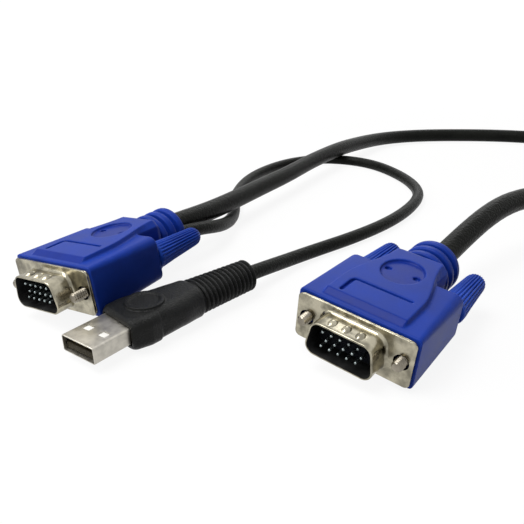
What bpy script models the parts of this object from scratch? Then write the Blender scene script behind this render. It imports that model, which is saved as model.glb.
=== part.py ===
"""KVM cable: two 15-pin display plugs on one thick cord and a USB plug on a thin lead.

Lengths are in metres and +Z is up. Each plug has a frame of its own: +X points out of
its mouth, +Y to the right of someone looking into the mouth, +Z up.
"""
import math

import bmesh
import bpy
from mathutils import Matrix, Vector

MM = 0.001

# Clearances
GAP = 0.3 * MM
SCREW_CLEARANCE = 0.53 * MM

# Metal front of a display plug
FLANGE_EDGE = 2.91 * MM
FLANGE_HEIGHT = 12.55 * MM
FLANGE_THICKNESS = 0.5 * MM
FLANGE_CORNER = 1.4 * MM
REAR_SHELL_INSET = 0.25 * MM
REAR_SHELL_THICKNESS = 0.5 * MM
SHROUD_LENGTH = 5.9 * MM
SHROUD_WIDTH = 17.7 * MM
SHROUD_HEIGHT = 9.16 * MM
SHROUD_CORNER = 2.6 * MM
SHROUD_SLANT = math.radians(10)
SHROUD_WALL = 0.4 * MM
SHROUD_FILLET = 0.9 * MM
SHROUD_LIP = 0.15 * MM
DIMPLE_SPACING = 3.6 * MM
DIMPLE_RADIUS = 0.95 * MM
DIMPLE_HEIGHT = 0.3 * MM
DIMPLE_COUNT = 3

# Pins and their insulator
INSULATOR_FRONT = 1.0 * MM
PIN_DIAMETER = 0.76 * MM
PIN_REACH = 5.0 * MM
PIN_PITCH = 2.29 * MM
PIN_ROW_PITCH = 1.98 * MM
PIN_COLUMNS = 5
PIN_ROWS = 3
PIN_SIDES = 8

# Moulded hood of a display plug
HOOD_OVERHANG = 0.495 * MM
HOOD_HEIGHT = 13.9 * MM
HOOD_CORNER = 1.2 * MM
EAR_LENGTH = 23.3 * MM
EAR_REAR_DROP = 0.35 * MM
EAR_REAR_ROUNDING = 2.5 * MM
DECK_RISE = 1.05 * MM
DECK_RAMP = 2.2 * MM
DECK_FRONT_WIDTH = 20.8 * MM
DECK_REAR_WIDTH = 12.8 * MM
DECK_TAPER_START = 10.5 * MM
DECK_LENGTH = 33.2 * MM
DECK_WALL = 0.6 * MM
DECK_WALL_HEIGHT = 1.2 * MM
DECK_REAR_ROUNDING = 0.8 * MM
NECK_WIDTH = 16.0 * MM
PANEL_WIDTH = 15.2 * MM
PANEL_DEPTH = 6.6 * MM
PANEL_FROM_FRONT = 3.6 * MM
GROOVE_WIDTH = 0.55 * MM
GROOVE_DEPTH = 0.4 * MM
RECESS_LENGTH = 12.4 * MM
RECESS_WIDTH = 10.9 * MM
RECESS_DEPTH = 0.4 * MM
RECESS_FROM_FRONT = 21.4 * MM
DOT_DIAMETER = 1.7 * MM
DOT_DEPTH = 0.9 * MM
DOT_SPACING = 7.8 * MM

# Ringed boot behind the hood
BOOT_DIAMETER = 15.2 * MM
BOOT_CORE_DIAMETER = 12.6 * MM
BOOT_RING_PITCH = 3.7 * MM
BOOT_GROOVE = 0.8 * MM
BOOT_RINGS = 3
BOOT_ROUNDING = 0.7 * MM
BOOT_SIDES = 28

# Thumbscrews
SCREW_SPACING = 24.99 * MM
SHANK_DIAMETER = 2.84 * MM
SHANK_REACH = 3.6 * MM
RIGHT_SCREW_SETBACK = 1.2 * MM
SHANK_CHAMFER = 0.5 * MM
SHANK_SIDES = 12
GRIP_LENGTH = 19.8 * MM
GRIP_ROOT_DIAMETER = 7.8 * MM
GRIP_END_DIAMETER = 5.8 * MM
GRIP_DOME_LENGTH = 3.0 * MM
GRIP_ROOT_ROUNDING = 0.5 * MM
GRIP_RIDGES = 20
GRIP_RIDGE_DEPTH = 0.25 * MM
SLOT_WIDTH = 1.1 * MM
SLOT_DEPTH = 1.4 * MM

# USB plug
USB_WIDTH = 12.0 * MM
USB_HEIGHT = 4.5 * MM
USB_WALL = 0.3 * MM
USB_CORNER = 0.6 * MM
USB_EXPOSED = 11.9 * MM
USB_SEATED = 2.6 * MM
WINDOW_FROM_MOUTH = 5.8 * MM
WINDOW_SPACING = 5.8 * MM
WINDOW_WIDTH = 2.5 * MM
WINDOW_LENGTH = 2.0 * MM
TONGUE_SETBACK = 0.8 * MM
TONGUE_HEIGHT = 1.7 * MM
CONTACT_WIDTH = 1.0 * MM
CONTACT_LENGTH = 7.4 * MM
CONTACT_THICKNESS = 0.2 * MM
CONTACT_SPACING = 2.3 * MM
CONTACT_SETBACK = 0.6 * MM
CONTACTS = 4

# USB overmould
GRIP_BLOCK_FRONT_WIDTH = 15.6 * MM
GRIP_BLOCK_REAR_WIDTH = 17.2 * MM
GRIP_BLOCK_LENGTH = 8.6 * MM
GRIP_BLOCK_HEIGHT = 8.5 * MM
GRIP_BLOCK_CORNER = 2.0 * MM
GRIP_BLOCK_STEP = 0.6 * MM
SHOULDER_WIDTH = 15.2 * MM
SHOULDER_LENGTH = 15.2 * MM
PAD_DIAMETER = 10.4 * MM
PAD_RISE = 0.45 * MM
PAD_RIM = 0.9 * MM
PAD_FROM_FRONT = 8.7 * MM
SLEEVE_LENGTH = 20.0 * MM
SLEEVE_ROOT_WIDTH = 13.2 * MM
SLEEVE_ROOT_HEIGHT = 9.6 * MM
SLEEVE_END_DIAMETER = 9.6 * MM
SLEEVE_RINGS = 13
SLEEVE_GROOVE_DEPTH = 0.6 * MM
SLEEVE_SIDES = 20

# Cords
MAIN_CORD_DIAMETER = 6.9 * MM
USB_LEAD_DIAMETER = 4.5 * MM
MAIN_EXIT_LEFT = (-2.0 * MM, 0.5 * MM)
LEAD_EXIT_LEFT = (4.6 * MM, -0.8 * MM)
CORD_STEP = 2.0

# Coil of the long middle of the main cord
COIL_TURN_DIAMETER = 76.0 * MM
COIL_CENTRE = (181.0 * MM, 93.2 * MM)
COIL_STEPS = 44
TIE_ANGLE = math.radians(-45)
TIE_WIDTH = 6.0 * MM
TIE_THICKNESS = 1.0 * MM

# Where each plug lies: the middle of its front plate or mouth, then how it is turned
PLUG_LEFT_AT = (-51.3 * MM, -4.1 * MM, 9.4 * MM)
PLUG_LEFT_TURN = (math.radians(-125.5), math.radians(-2.1), math.radians(7.6))
PLUG_RIGHT_AT = (25.0 * MM, -30.2 * MM, 9.0 * MM)
PLUG_RIGHT_TURN = (math.radians(-128.2), math.radians(-2.8), math.radians(-6.2))
USB_AT = (-39.1 * MM, -27.8 * MM, 4.6 * MM)
USB_TURN = (math.radians(-128.0), math.radians(-0.6), math.radians(2.0))
USB_BODY_TURN = math.radians(-9.4)

# Routes of the cords across the floor, from the first plug named
MAIN_LEFT_ROUTE = [
    (-14.9, 51.4, 10.0), (-3.5, 71.4, 9.0), (6.5, 88.3, 8.6), (16.8, 104.3, 8.5),
    (27.3, 123.2, 8.5), (41.7, 145.0, 8.4), (51.1, 159.3, 7.4), (71.6, 185.9, 4.6),
    (93.7, 196.9, 3.8), (121.2, 199.3, 3.6), (148.9, 196.5, 3.6), (180.0, 185.2, 3.6),
    (208.0, 161.2, 3.6), (225.0, 128.2, 3.6),
]
MAIN_RIGHT_ROUTE = [
    (69.2, 22.2, 16.4), (85.6, 37.1, 19.5), (107.0, 48.2, 17.0), (130.0, 51.2, 10.0),
    (153.0, 47.2, 4.6),
]
USB_LEAD_ROUTE = [
    (8.9, 21.5, 3.9), (17.3, 31.3, 2.6), (26.2, 38.9, 2.4), (35.7, 46.4, 2.4),
    (48.3, 58.1, 2.4), (58.1, 69.7, 2.4), (65.9, 81.9, 2.4), (71.7, 95.9, 2.4),
    (72.0, 110.0, 2.4), (69.3, 122.3, 2.4), (63.1, 137.1, 2.4), (54.6, 146.4, 2.4),
    (41.8, 151.6, 2.4), (32.7, 151.3, 2.4), (20.3, 145.1, 2.4), (12.7, 137.9, 2.4),
    (6.3, 129.3, 2.4), (1.2, 120.3, 2.4), (-2.7, 108.9, 2.4), (-5.1, 97.4, 2.4),
    (-5.8, 85.4, 2.4), (-5.3, 76.8, 2.4), (-5.6, 67.9, 2.7), (-6.8, 58.4, 4.1),
    (-8.9, 49.9, 6.0), (-11.0, 44.1, 7.7), (-13.4, 39.8, 9.2), (-15.8, 36.7, 10.0),
]


def remove_everything():
    for obj in list(bpy.data.objects):
        bpy.data.objects.remove(obj)
    for collection in list(bpy.data.collections):
        bpy.data.collections.remove(collection)


def new_collection(name):
    collection = bpy.data.collections.new(name)
    bpy.context.scene.collection.children.link(collection)
    return collection


def material(name, colour, roughness, metallic):
    made = bpy.data.materials.new(name)
    made.use_nodes = True
    shader = made.node_tree.nodes["Principled BSDF"]
    shader.inputs["Base Color"].default_value = (*colour, 1.0)
    shader.inputs["Roughness"].default_value = roughness
    shader.inputs["Metallic"].default_value = metallic
    made.diffuse_color = (*colour, 1.0)
    return made


def frame_empty(name, place, turn, parent=None):
    """Empty at a piece's frame. The turn is (heading, nose up, right side up)."""
    empty = bpy.data.objects.new(name, None)
    parts.objects.link(empty)
    heading, nose_up, side_up = turn
    matrix = Matrix.Translation(place) @ Matrix.Rotation(heading, 4, "Z")
    matrix = matrix @ Matrix.Rotation(-nose_up, 4, "Y") @ Matrix.Rotation(side_up, 4, "X")
    empty.parent = parent
    empty.matrix_local = matrix
    return empty


def world_matrix(empty):
    bpy.context.view_layer.update()
    return empty.matrix_world.copy()


def add_object(name, mesh, parent=None, place=(0, 0, 0), finish=None, smooth=None):
    obj = bpy.data.objects.new(name, mesh)
    parts.objects.link(obj)
    obj.parent = parent
    obj.location = place
    if finish:
        mesh.materials.append(finish)
    if smooth is not None:
        mesh.shade_smooth()
        mesh.set_sharp_from_angle(angle=smooth)
    return obj


def evaluated_mesh(obj):
    """The object's mesh with its modifiers or its curve bevel worked out, and welded."""
    bpy.context.view_layer.update()
    depsgraph = bpy.context.evaluated_depsgraph_get()
    mesh = bpy.data.meshes.new_from_object(obj.evaluated_get(depsgraph))
    work = bmesh.new()
    work.from_mesh(mesh)
    bmesh.ops.remove_doubles(work, verts=work.verts, dist=0.001 * MM)
    work.to_mesh(mesh)
    work.free()
    mesh.materials.clear()
    return mesh


def loft(name, sections):
    """Closed solid through outlines of equal point count, each at its own X."""
    work = bmesh.new()
    rings = [[work.verts.new((x, y, z)) for y, z in outline] for x, outline in sections]
    work.faces.new(rings[0])
    work.faces.new(reversed(rings[-1]))
    for one, two in zip(rings, rings[1:]):
        for i in range(len(one)):
            j = (i + 1) % len(one)
            work.faces.new((one[j], one[i], two[i], two[j]))
    bmesh.ops.recalc_face_normals(work, faces=work.faces)
    mesh = bpy.data.meshes.new(name)
    work.to_mesh(mesh)
    work.free()
    return mesh


def turned(name, profile, sides):
    """Solid of revolution round X, from a profile of (x, radius) points."""
    mesh = bpy.data.meshes.new(name)
    work = bmesh.new()
    verts = [work.verts.new((x, 0, radius)) for x, radius in profile]
    for one, two in zip(verts, verts[1:]):
        work.edges.new((one, two))
    work.to_mesh(mesh)
    work.free()
    obj = bpy.data.objects.new(name, mesh)
    parts.objects.link(obj)
    screw = obj.modifiers.new("Turn", "SCREW")
    screw.axis = "X"
    screw.steps = sides
    screw.render_steps = sides
    screw.use_merge_vertices = True
    screw.merge_threshold = 0.01 * MM
    result = evaluated_mesh(obj)
    bpy.data.objects.remove(obj)
    work = bmesh.new()
    work.from_mesh(result)
    bmesh.ops.recalc_face_normals(work, faces=work.faces)
    work.to_mesh(result)
    work.free()
    return result


def boolean(obj, other, operation):
    step = obj.modifiers.new(operation.title(), "BOOLEAN")
    step.operation = operation
    step.object = other
    step.solver = "EXACT"


def cutter(name, mesh, parent=None, place=(0, 0, 0)):
    """A guide solid that shapes another piece and isn't part of the cable."""
    obj = bpy.data.objects.new(name, mesh)
    cutters.objects.link(obj)
    obj.parent = parent
    obj.location = place
    obj.hide_render = True
    obj.display_type = "WIRE"
    return obj


def box_mesh(name, size, middle=(0, 0, 0)):
    work = bmesh.new()
    bmesh.ops.create_cube(work, size=1.0)
    bmesh.ops.scale(work, vec=size, verts=work.verts)
    bmesh.ops.translate(work, vec=middle, verts=work.verts)
    mesh = bpy.data.meshes.new(name)
    work.to_mesh(mesh)
    work.free()
    return mesh


def cylinder_mesh(name, radius, length, axis, sides, middle=(0, 0, 0)):
    work = bmesh.new()
    bmesh.ops.create_cone(work, cap_ends=True, segments=sides, radius1=radius, radius2=radius,
                          depth=length)
    if axis == "X":
        bmesh.ops.rotate(work, verts=work.verts, matrix=Matrix.Rotation(math.pi / 2, 3, "Y"))
    bmesh.ops.translate(work, vec=middle, verts=work.verts)
    mesh = bpy.data.meshes.new(name)
    work.to_mesh(mesh)
    work.free()
    return mesh


def rounded_box_outline(half_width, low, high, corner, arc_points=3):
    """Outline in Y and Z with round corners, from the lower right corner round."""
    centres = [(half_width - corner, low + corner, -90), (half_width - corner, high - corner, 0),
               (corner - half_width, high - corner, 90), (corner - half_width, low + corner, 180)]
    points = []
    for y, z, start in centres:
        for i in range(arc_points):
            angle = math.radians(start + 90 * i / (arc_points - 1))
            points.append((y + corner * math.cos(angle), z + corner * math.sin(angle)))
    return points


def shroud_outline(grow=0.0, arc_points=4):
    """The D of the shroud, wide side down, grown outwards by an even amount."""
    corner = SHROUD_CORNER + grow
    top = SHROUD_HEIGHT / 2 - SHROUD_CORNER
    low_y = SHROUD_WIDTH / 2 - SHROUD_CORNER
    high_y = low_y - 2 * top * math.tan(SHROUD_SLANT)
    slant = math.degrees(SHROUD_SLANT)
    arcs = [(low_y, -top, -90, slant), (high_y, top, slant, 90),
            (-high_y, top, 90, 180 - slant), (-low_y, -top, 180 - slant, 270)]
    points = []
    for y, z, start, end in arcs:
        for i in range(arc_points):
            angle = math.radians(start + (end - start) * i / (arc_points - 1))
            points.append((y + corner * math.cos(angle), z + corner * math.sin(angle)))
    return points


def plate_mesh(name, width, height, corner, front, back):
    outline = rounded_box_outline(width / 2, -height / 2, height / 2, corner, 4)
    return loft(name, [(back, outline), (front, outline)])


def flange_width():
    """The flange reaches past each thumbscrew axis by its edge."""
    return SCREW_SPACING + 2 * FLANGE_EDGE


def hood_width():
    return flange_width() + 2 * HOOD_OVERHANG


def screw_holes(name, parent, diameter, front, back):
    """Two cutters along the thumbscrew axes."""
    holes = []
    for side, sign in (("far", -1), ("near", 1)):
        mesh = cylinder_mesh(name, diameter / 2, front - back, "X", 16,
                             ((front + back) / 2, sign * SCREW_SPACING / 2, 0))
        holes.append(cutter(f"{name}_{side}", mesh, parent))
    return holes


def front_shell(name, frame):
    """Flange and D shroud drawn from one sheet, with a fillet where they meet."""
    mesh = plate_mesh(name, flange_width(), FLANGE_HEIGHT, FLANGE_CORNER, 0, -FLANGE_THICKNESS)
    shell = add_object(name, mesh, frame, finish=nickel, smooth=math.radians(35))
    fillet = [(SHROUD_FILLET * (1 - math.cos(a)), SHROUD_FILLET * (1 - math.sin(a)))
              for a in (0, math.radians(30), math.radians(60), math.radians(90))]
    start = -FLANGE_THICKNESS / 2
    sections = [(start, shroud_outline(SHROUD_FILLET))]
    sections += [(x, shroud_outline(grow)) for x, grow in fillet]
    sections += [(SHROUD_LENGTH - SHROUD_LIP, shroud_outline()),
                 (SHROUD_LENGTH, shroud_outline(-SHROUD_LIP))]
    boolean(shell, cutter(f"{name}_shroud", loft(name, sections), frame), "UNION")
    row = (DIMPLE_COUNT - 1) / 2
    for i in range(DIMPLE_COUNT):
        for level in (-1, 1):
            work = bmesh.new()
            bmesh.ops.create_uvsphere(work, u_segments=10, v_segments=6, radius=DIMPLE_RADIUS)
            bmesh.ops.scale(work, vec=(1, 1, 2 * DIMPLE_HEIGHT / DIMPLE_RADIUS), verts=work.verts)
            dimple = bpy.data.meshes.new(name)
            work.to_mesh(dimple)
            work.free()
            place = ((SHROUD_LENGTH + SHROUD_FILLET) / 2, (i - row) * DIMPLE_SPACING,
                     level * (SHROUD_HEIGHT / 2 - DIMPLE_HEIGHT))
            boolean(shell, cutter(f"{name}_dimple_{i}_{level}", dimple, frame, place), "UNION")
    reach = 1.0 * MM
    hollow = shroud_outline(-SHROUD_WALL)
    hollow_mesh = loft(name, [(-FLANGE_THICKNESS - reach, hollow), (SHROUD_LENGTH + reach, hollow)])
    boolean(shell, cutter(f"{name}_hollow", hollow_mesh, frame), "DIFFERENCE")
    hole = SHANK_DIAMETER + 2 * SCREW_CLEARANCE
    for bore in screw_holes(f"{name}_hole", frame, hole, reach, -FLANGE_THICKNESS - reach):
        boolean(shell, bore, "DIFFERENCE")
    return shell


def rear_shell(name, frame):
    """Plate that closes the back of the front shell."""
    front = -FLANGE_THICKNESS - GAP
    back = front - REAR_SHELL_THICKNESS
    mesh = plate_mesh(name, flange_width() - 2 * REAR_SHELL_INSET, FLANGE_HEIGHT - 2 * REAR_SHELL_INSET,
                      FLANGE_CORNER, front, back)
    shell = add_object(name, mesh, frame, finish=nickel, smooth=math.radians(35))
    hole = SHANK_DIAMETER + 2 * SCREW_CLEARANCE
    for bore in screw_holes(f"{name}_hole", frame, hole, front + GAP, back - GAP):
        boolean(shell, bore, "DIFFERENCE")
    return shell


def insulator(name, frame):
    outline = shroud_outline(-SHROUD_WALL - GAP)
    mesh = loft(name, [(-FLANGE_THICKNESS, outline), (INSULATOR_FRONT, outline)])
    return add_object(name, mesh, frame, finish=black_plastic, smooth=math.radians(35))


def pin_mesh(name):
    length = PIN_REACH - INSULATOR_FRONT - GAP
    radius = PIN_DIAMETER / 2
    profile = [(0, 0), (0, radius), (length - radius, radius), (length, radius * 0.45), (length, 0)]
    return turned(name, profile, PIN_SIDES)


def pins(side, frame):
    """Three rows of five, the middle row half a pitch to the right of the others."""
    shared = pin_mesh("pin")
    shared.materials.append(pin_metal)
    shared.shade_smooth()
    shared.set_sharp_from_angle(angle=math.radians(40))
    number = 0
    for row in range(PIN_ROWS):
        shift = PIN_PITCH / 4 * (1 if row % 2 else -1)
        z = ((PIN_ROWS - 1) / 2 - row) * PIN_ROW_PITCH
        for column in range(PIN_COLUMNS):
            number += 1
            y = (column - (PIN_COLUMNS - 1) / 2) * PIN_PITCH + shift
            add_object(f"{side}_pin_{number:02d}", shared, frame, (INSULATOR_FRONT + GAP, y, z))


def hood_front():
    """X of the hood's front face, behind the two metal plates."""
    return -FLANGE_THICKNESS - REAR_SHELL_THICKNESS - 2 * GAP


def ear_outline(top, rounding):
    """Slab with the ears: upper and lower edges rounded alike."""
    return rounded_box_outline(hood_width() / 2, -top, top, rounding, 4)


def deck_outline(half_width, top, wall):
    """The raised middle of the hood, the same above and below, and the neck behind it."""
    wide = max(half_width + DECK_WALL, NECK_WIDTH / 2)
    right = [(half_width, -top), (wide, wall - top), (wide, top - wall), (half_width, top)]
    return right + [(-y, z) for y, z in reversed(right)]


def deck_sections():
    """Ramp up from the front face, a straight stretch, then a smooth taper to the neck."""
    front = hood_front()
    top = HOOD_HEIGHT / 2
    raised = top + DECK_RISE
    wide = DECK_FRONT_WIDTH / 2
    narrow = DECK_REAR_WIDTH / 2
    taper_end = DECK_LENGTH - 2 * DECK_REAR_ROUNDING
    sections = [(front - GAP, deck_outline(wide, top - GAP, DECK_WALL_HEIGHT)),
                (front - DECK_RAMP, deck_outline(wide, raised, DECK_WALL_HEIGHT)),
                (front - DECK_TAPER_START, deck_outline(wide, raised, DECK_WALL_HEIGHT))]
    for share in (0.2, 0.4, 0.6, 0.8, 1.0):
        ease = share * share * (3 - 2 * share)
        x = front - DECK_TAPER_START - (taper_end - DECK_TAPER_START) * share
        wall = DECK_WALL_HEIGHT * (1 + 0.5 * ease)
        sections.append((x, deck_outline(wide + (narrow - wide) * ease, raised, wall)))
    half_width = narrow - DECK_REAR_ROUNDING
    end = deck_outline(half_width, raised - DECK_REAR_ROUNDING, wall)
    end = [(math.copysign(min(abs(y), NECK_WIDTH / 2 - DECK_REAR_ROUNDING), y), z) for y, z in end]
    sections.append((front - DECK_LENGTH, end))
    return sections


def boot_end():
    """X of the boot's rear face, where the cord comes out."""
    return hood_front() - DECK_LENGTH - BOOT_RINGS * BOOT_RING_PITCH + BOOT_GROOVE / 2


def boot_profile():
    """Rings with round edges, from the rear face forward to inside the hood."""
    outer, core = BOOT_DIAMETER / 2, BOOT_CORE_DIAMETER / 2
    round_off = BOOT_ROUNDING
    profile = [(boot_end(), 0), (boot_end(), outer - 2.2 * round_off)]
    for ring in range(BOOT_RINGS):
        rear = boot_end() + ring * BOOT_RING_PITCH
        front = rear + BOOT_RING_PITCH - BOOT_GROOVE
        start = outer - round_off if ring == 0 else core
        profile += [(rear + 0.15 * round_off, start), (rear + 0.5 * round_off, outer - 0.25 * round_off),
                    (rear + 1.2 * round_off, outer), (front - 0.8 * round_off, outer),
                    (front - 0.2 * round_off, outer - 0.4 * round_off), (front, core)]
    inside = hood_front() - DECK_LENGTH + 2 * DECK_REAR_ROUNDING
    return profile + [(inside, core), (inside, 0)]


def groove_mesh(name):
    """Corner-shaped slot that frames the front of the deck on two sides."""
    front = hood_front() - PANEL_FROM_FRONT
    back = front - PANEL_DEPTH
    left, right = -PANEL_WIDTH / 2 + 0.3 * MM, PANEL_WIDTH / 2 + 0.6 * MM
    corner = 1.2 * MM
    path = [(front, left), (back + corner, left), (back + 0.3 * corner, left + 0.3 * corner),
            (back, left + corner), (back, right)]
    half = GROOVE_WIDTH / 2
    top = HOOD_HEIGHT / 2 + DECK_RISE
    outer = [(path[0][0], left - half), (path[1][0], left - half), (path[2][0] - half * 0.7, path[2][1] - half * 0.7),
             (back - half, path[3][1]), (back - half, right)]
    inner = [(back + half, right), (back + half, path[3][1]), (path[2][0] + half * 0.7, path[2][1] + half * 0.7),
             (path[1][0], left + half), (path[0][0], left + half)]
    return prism_mesh(name, outer + inner, top - GROOVE_DEPTH, top + GROOVE_DEPTH)


def prism_mesh(name, outline, low, high):
    """Upright prism over an outline in X and Y."""
    work = bmesh.new()
    face = work.faces.new([work.verts.new((x, y, low)) for x, y in outline])
    raised = bmesh.ops.extrude_face_region(work, geom=[face])
    verts = [item for item in raised["geom"] if isinstance(item, bmesh.types.BMVert)]
    bmesh.ops.translate(work, vec=(0, 0, high - low), verts=verts)
    bmesh.ops.recalc_face_normals(work, faces=work.faces)
    mesh = bpy.data.meshes.new(name)
    work.to_mesh(mesh)
    work.free()
    return mesh


def hood(name, frame):
    """One moulding: ears for the thumbscrews, raised deck, neck and ringed boot."""
    front = hood_front()
    top = HOOD_HEIGHT / 2
    back = front - EAR_LENGTH
    ears = loft(name, [(back, ear_outline(top - EAR_REAR_DROP, EAR_REAR_ROUNDING)),
                       (front, ear_outline(top, HOOD_CORNER))])
    body = add_object(name, ears, frame, finish=blue_plastic, smooth=math.radians(32))
    boolean(body, cutter(f"{name}_deck", loft(name, deck_sections()), frame), "UNION")
    boolean(body, cutter(f"{name}_boot", turned(name, boot_profile(), BOOT_SIDES), frame), "UNION")
    deck_top = top + DECK_RISE
    boolean(body, cutter(f"{name}_panel_groove", groove_mesh(name), frame), "DIFFERENCE")
    recess_x = front - RECESS_FROM_FRONT
    recess = cylinder_mesh(name, RECESS_LENGTH / 2, 2 * RECESS_DEPTH, "Z", 28)
    recess.transform(Matrix.Diagonal((1, RECESS_WIDTH / RECESS_LENGTH, 1, 1)))
    recess.transform(Matrix.Translation((recess_x, 0, deck_top)))
    boolean(body, cutter(f"{name}_recess", recess, frame), "DIFFERENCE")
    for sign in (-1, 1):
        dot = cylinder_mesh(name, DOT_DIAMETER / 2, 2 * DOT_DEPTH, "Z", 10,
                            (recess_x, sign * DOT_SPACING / 2, deck_top))
        boolean(body, cutter(f"{name}_dot_{sign}", dot, frame), "DIFFERENCE")
    bore = SHANK_DIAMETER + 2 * SCREW_CLEARANCE
    for hole in screw_holes(f"{name}_bore", frame, bore, front + GAP, back - GAP):
        boolean(body, hole, "DIFFERENCE")
    return body


def grip_mesh(name):
    """Tapered, ridged knob with a domed end."""
    root, end = GRIP_ROOT_DIAMETER / 2, GRIP_END_DIAMETER / 2
    straight = GRIP_LENGTH - GRIP_DOME_LENGTH
    rings = [(0, root - GRIP_ROOT_ROUNDING, 0), (GRIP_ROOT_ROUNDING, root, 1), (straight, end, 1)]
    for degrees in (30, 60, 80):
        angle = math.radians(degrees)
        rings.append((straight + GRIP_DOME_LENGTH * math.sin(angle), end * math.cos(angle), 0))
    sections = []
    for back, radius, ridged in rings:
        outline = []
        for i in range(2 * GRIP_RIDGES):
            angle = math.pi * i / GRIP_RIDGES
            reach = radius - (GRIP_RIDGE_DEPTH if ridged and i % 2 else 0)
            outline.append((reach * math.cos(angle), reach * math.sin(angle)))
        sections.append((-back, outline))
    return loft(name, sections)


def thumbscrew(name, frame, sign, setback):
    """Grip and steel shank of one thumbscrew, drawn back by its play, on its turning axis."""
    ear_back = hood_front() - EAR_LENGTH
    axis = frame_empty(f"{name}_axis", (-setback, sign * SCREW_SPACING / 2, 0), (0, 0, 0), frame)
    grip = add_object(f"{name}_grip", grip_mesh(name), axis, (ear_back - GAP, 0, 0), blue_grip)
    slot = box_mesh(name, (2 * SLOT_DEPTH, SLOT_WIDTH, GRIP_END_DIAMETER), (-GRIP_LENGTH, 0, 0))
    boolean(grip, cutter(f"{name}_slot", slot, axis, grip.location), "DIFFERENCE")
    radius = SHANK_DIAMETER / 2
    profile = [(ear_back, 0), (ear_back, radius), (SHANK_REACH - SHANK_CHAMFER, radius),
               (SHANK_REACH, radius - SHANK_CHAMFER), (SHANK_REACH, 0)]
    add_object(f"{name}_shank", turned(name, profile, SHANK_SIDES), axis, finish=steel,
               smooth=math.radians(40))


def display_plug(side, place, turn, screw_setback):
    frame = frame_empty(f"{side}_frame", place, turn)
    hood(f"{side}_hood", frame)
    rear_shell(f"{side}_rear_shell", frame)
    front_shell(f"{side}_front_shell", frame)
    insulator(f"{side}_insulator", frame)
    pins(side, frame)
    thumbscrew(f"{side}_far_screw", frame, -1, screw_setback)
    thumbscrew(f"{side}_near_screw", frame, 1, screw_setback)
    return frame


def usb_shell(frame):
    """Folded sheet tube with four latch windows."""
    half, tall, length = USB_WIDTH / 2, USB_HEIGHT / 2, USB_EXPOSED + USB_SEATED
    outer = rounded_box_outline(half, -tall, tall, USB_CORNER)
    inner = rounded_box_outline(half - USB_WALL, USB_WALL - tall, tall - USB_WALL, USB_CORNER - USB_WALL)
    shell = add_object("usb_shell", loft("usb_shell", [(-length, outer), (0, outer)]), frame,
                       finish=tinned_steel, smooth=math.radians(35))
    hollow = loft("usb_shell_hollow", [(-length - GAP, inner), (GAP, inner)])
    boolean(shell, cutter("usb_shell_hollow", hollow, frame), "DIFFERENCE")
    for sign in (-1, 1):
        window = box_mesh("usb_window", (WINDOW_LENGTH, WINDOW_WIDTH, 2 * USB_HEIGHT),
                          (-WINDOW_FROM_MOUTH, sign * WINDOW_SPACING / 2, 0))
        boolean(shell, cutter(f"usb_window_{sign}", window, frame), "DIFFERENCE")


def usb_tongue(frame):
    """Insert in the lower half of the mouth, with four contact strips on it."""
    low = -USB_HEIGHT / 2 + USB_WALL + GAP
    half = USB_WIDTH / 2 - USB_WALL - GAP
    back = -USB_EXPOSED - USB_SEATED + GAP
    top = low + TONGUE_HEIGHT
    outline = rounded_box_outline(half, low, top, 0.25 * MM)
    add_object("usb_tongue", loft("usb_tongue", [(back, outline), (-TONGUE_SETBACK, outline)]), frame,
               finish=black_plastic)
    front = -TONGUE_SETBACK - CONTACT_SETBACK
    for i in range(CONTACTS):
        y = (i - (CONTACTS - 1) / 2) * CONTACT_SPACING
        middle = (front - CONTACT_LENGTH / 2, y, top + GAP + CONTACT_THICKNESS / 2)
        strip = box_mesh("usb_contact", (CONTACT_LENGTH, CONTACT_WIDTH, CONTACT_THICKNESS), middle)
        add_object(f"usb_contact_{i + 1}", strip, frame, finish=gold)


def sleeve_outline(share, groove):
    """Section of the strain relief: oval at its root, where share is 1, and round at its end."""
    half_width = (SLEEVE_END_DIAMETER + (SLEEVE_ROOT_WIDTH - SLEEVE_END_DIAMETER) * share) / 2 - groove
    half_height = (SLEEVE_END_DIAMETER + (SLEEVE_ROOT_HEIGHT - SLEEVE_END_DIAMETER) * share) / 2 - groove
    angles = [2 * math.pi * i / SLEEVE_SIDES for i in range(SLEEVE_SIDES)]
    return [(half_width * math.cos(a), half_height * math.sin(a)) for a in angles]


def sleeve_sections(front, back):
    """Ribbed strain relief, thinner towards the lead."""
    pitch = (front - back) / SLEEVE_RINGS
    sections = []
    for i in range(SLEEVE_RINGS):
        share = i / (SLEEVE_RINGS - 1)
        x = back + pitch * i
        sections += [(x, sleeve_outline(share, SLEEVE_GROOVE_DEPTH)),
                     (x + 0.3 * pitch, sleeve_outline(share, 0)),
                     (x + 0.7 * pitch, sleeve_outline(share, 0))]
    inner = sleeve_outline(1, SLEEVE_GROOVE_DEPTH)
    return sections + [(front, inner), (front + pitch, inner)]


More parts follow.
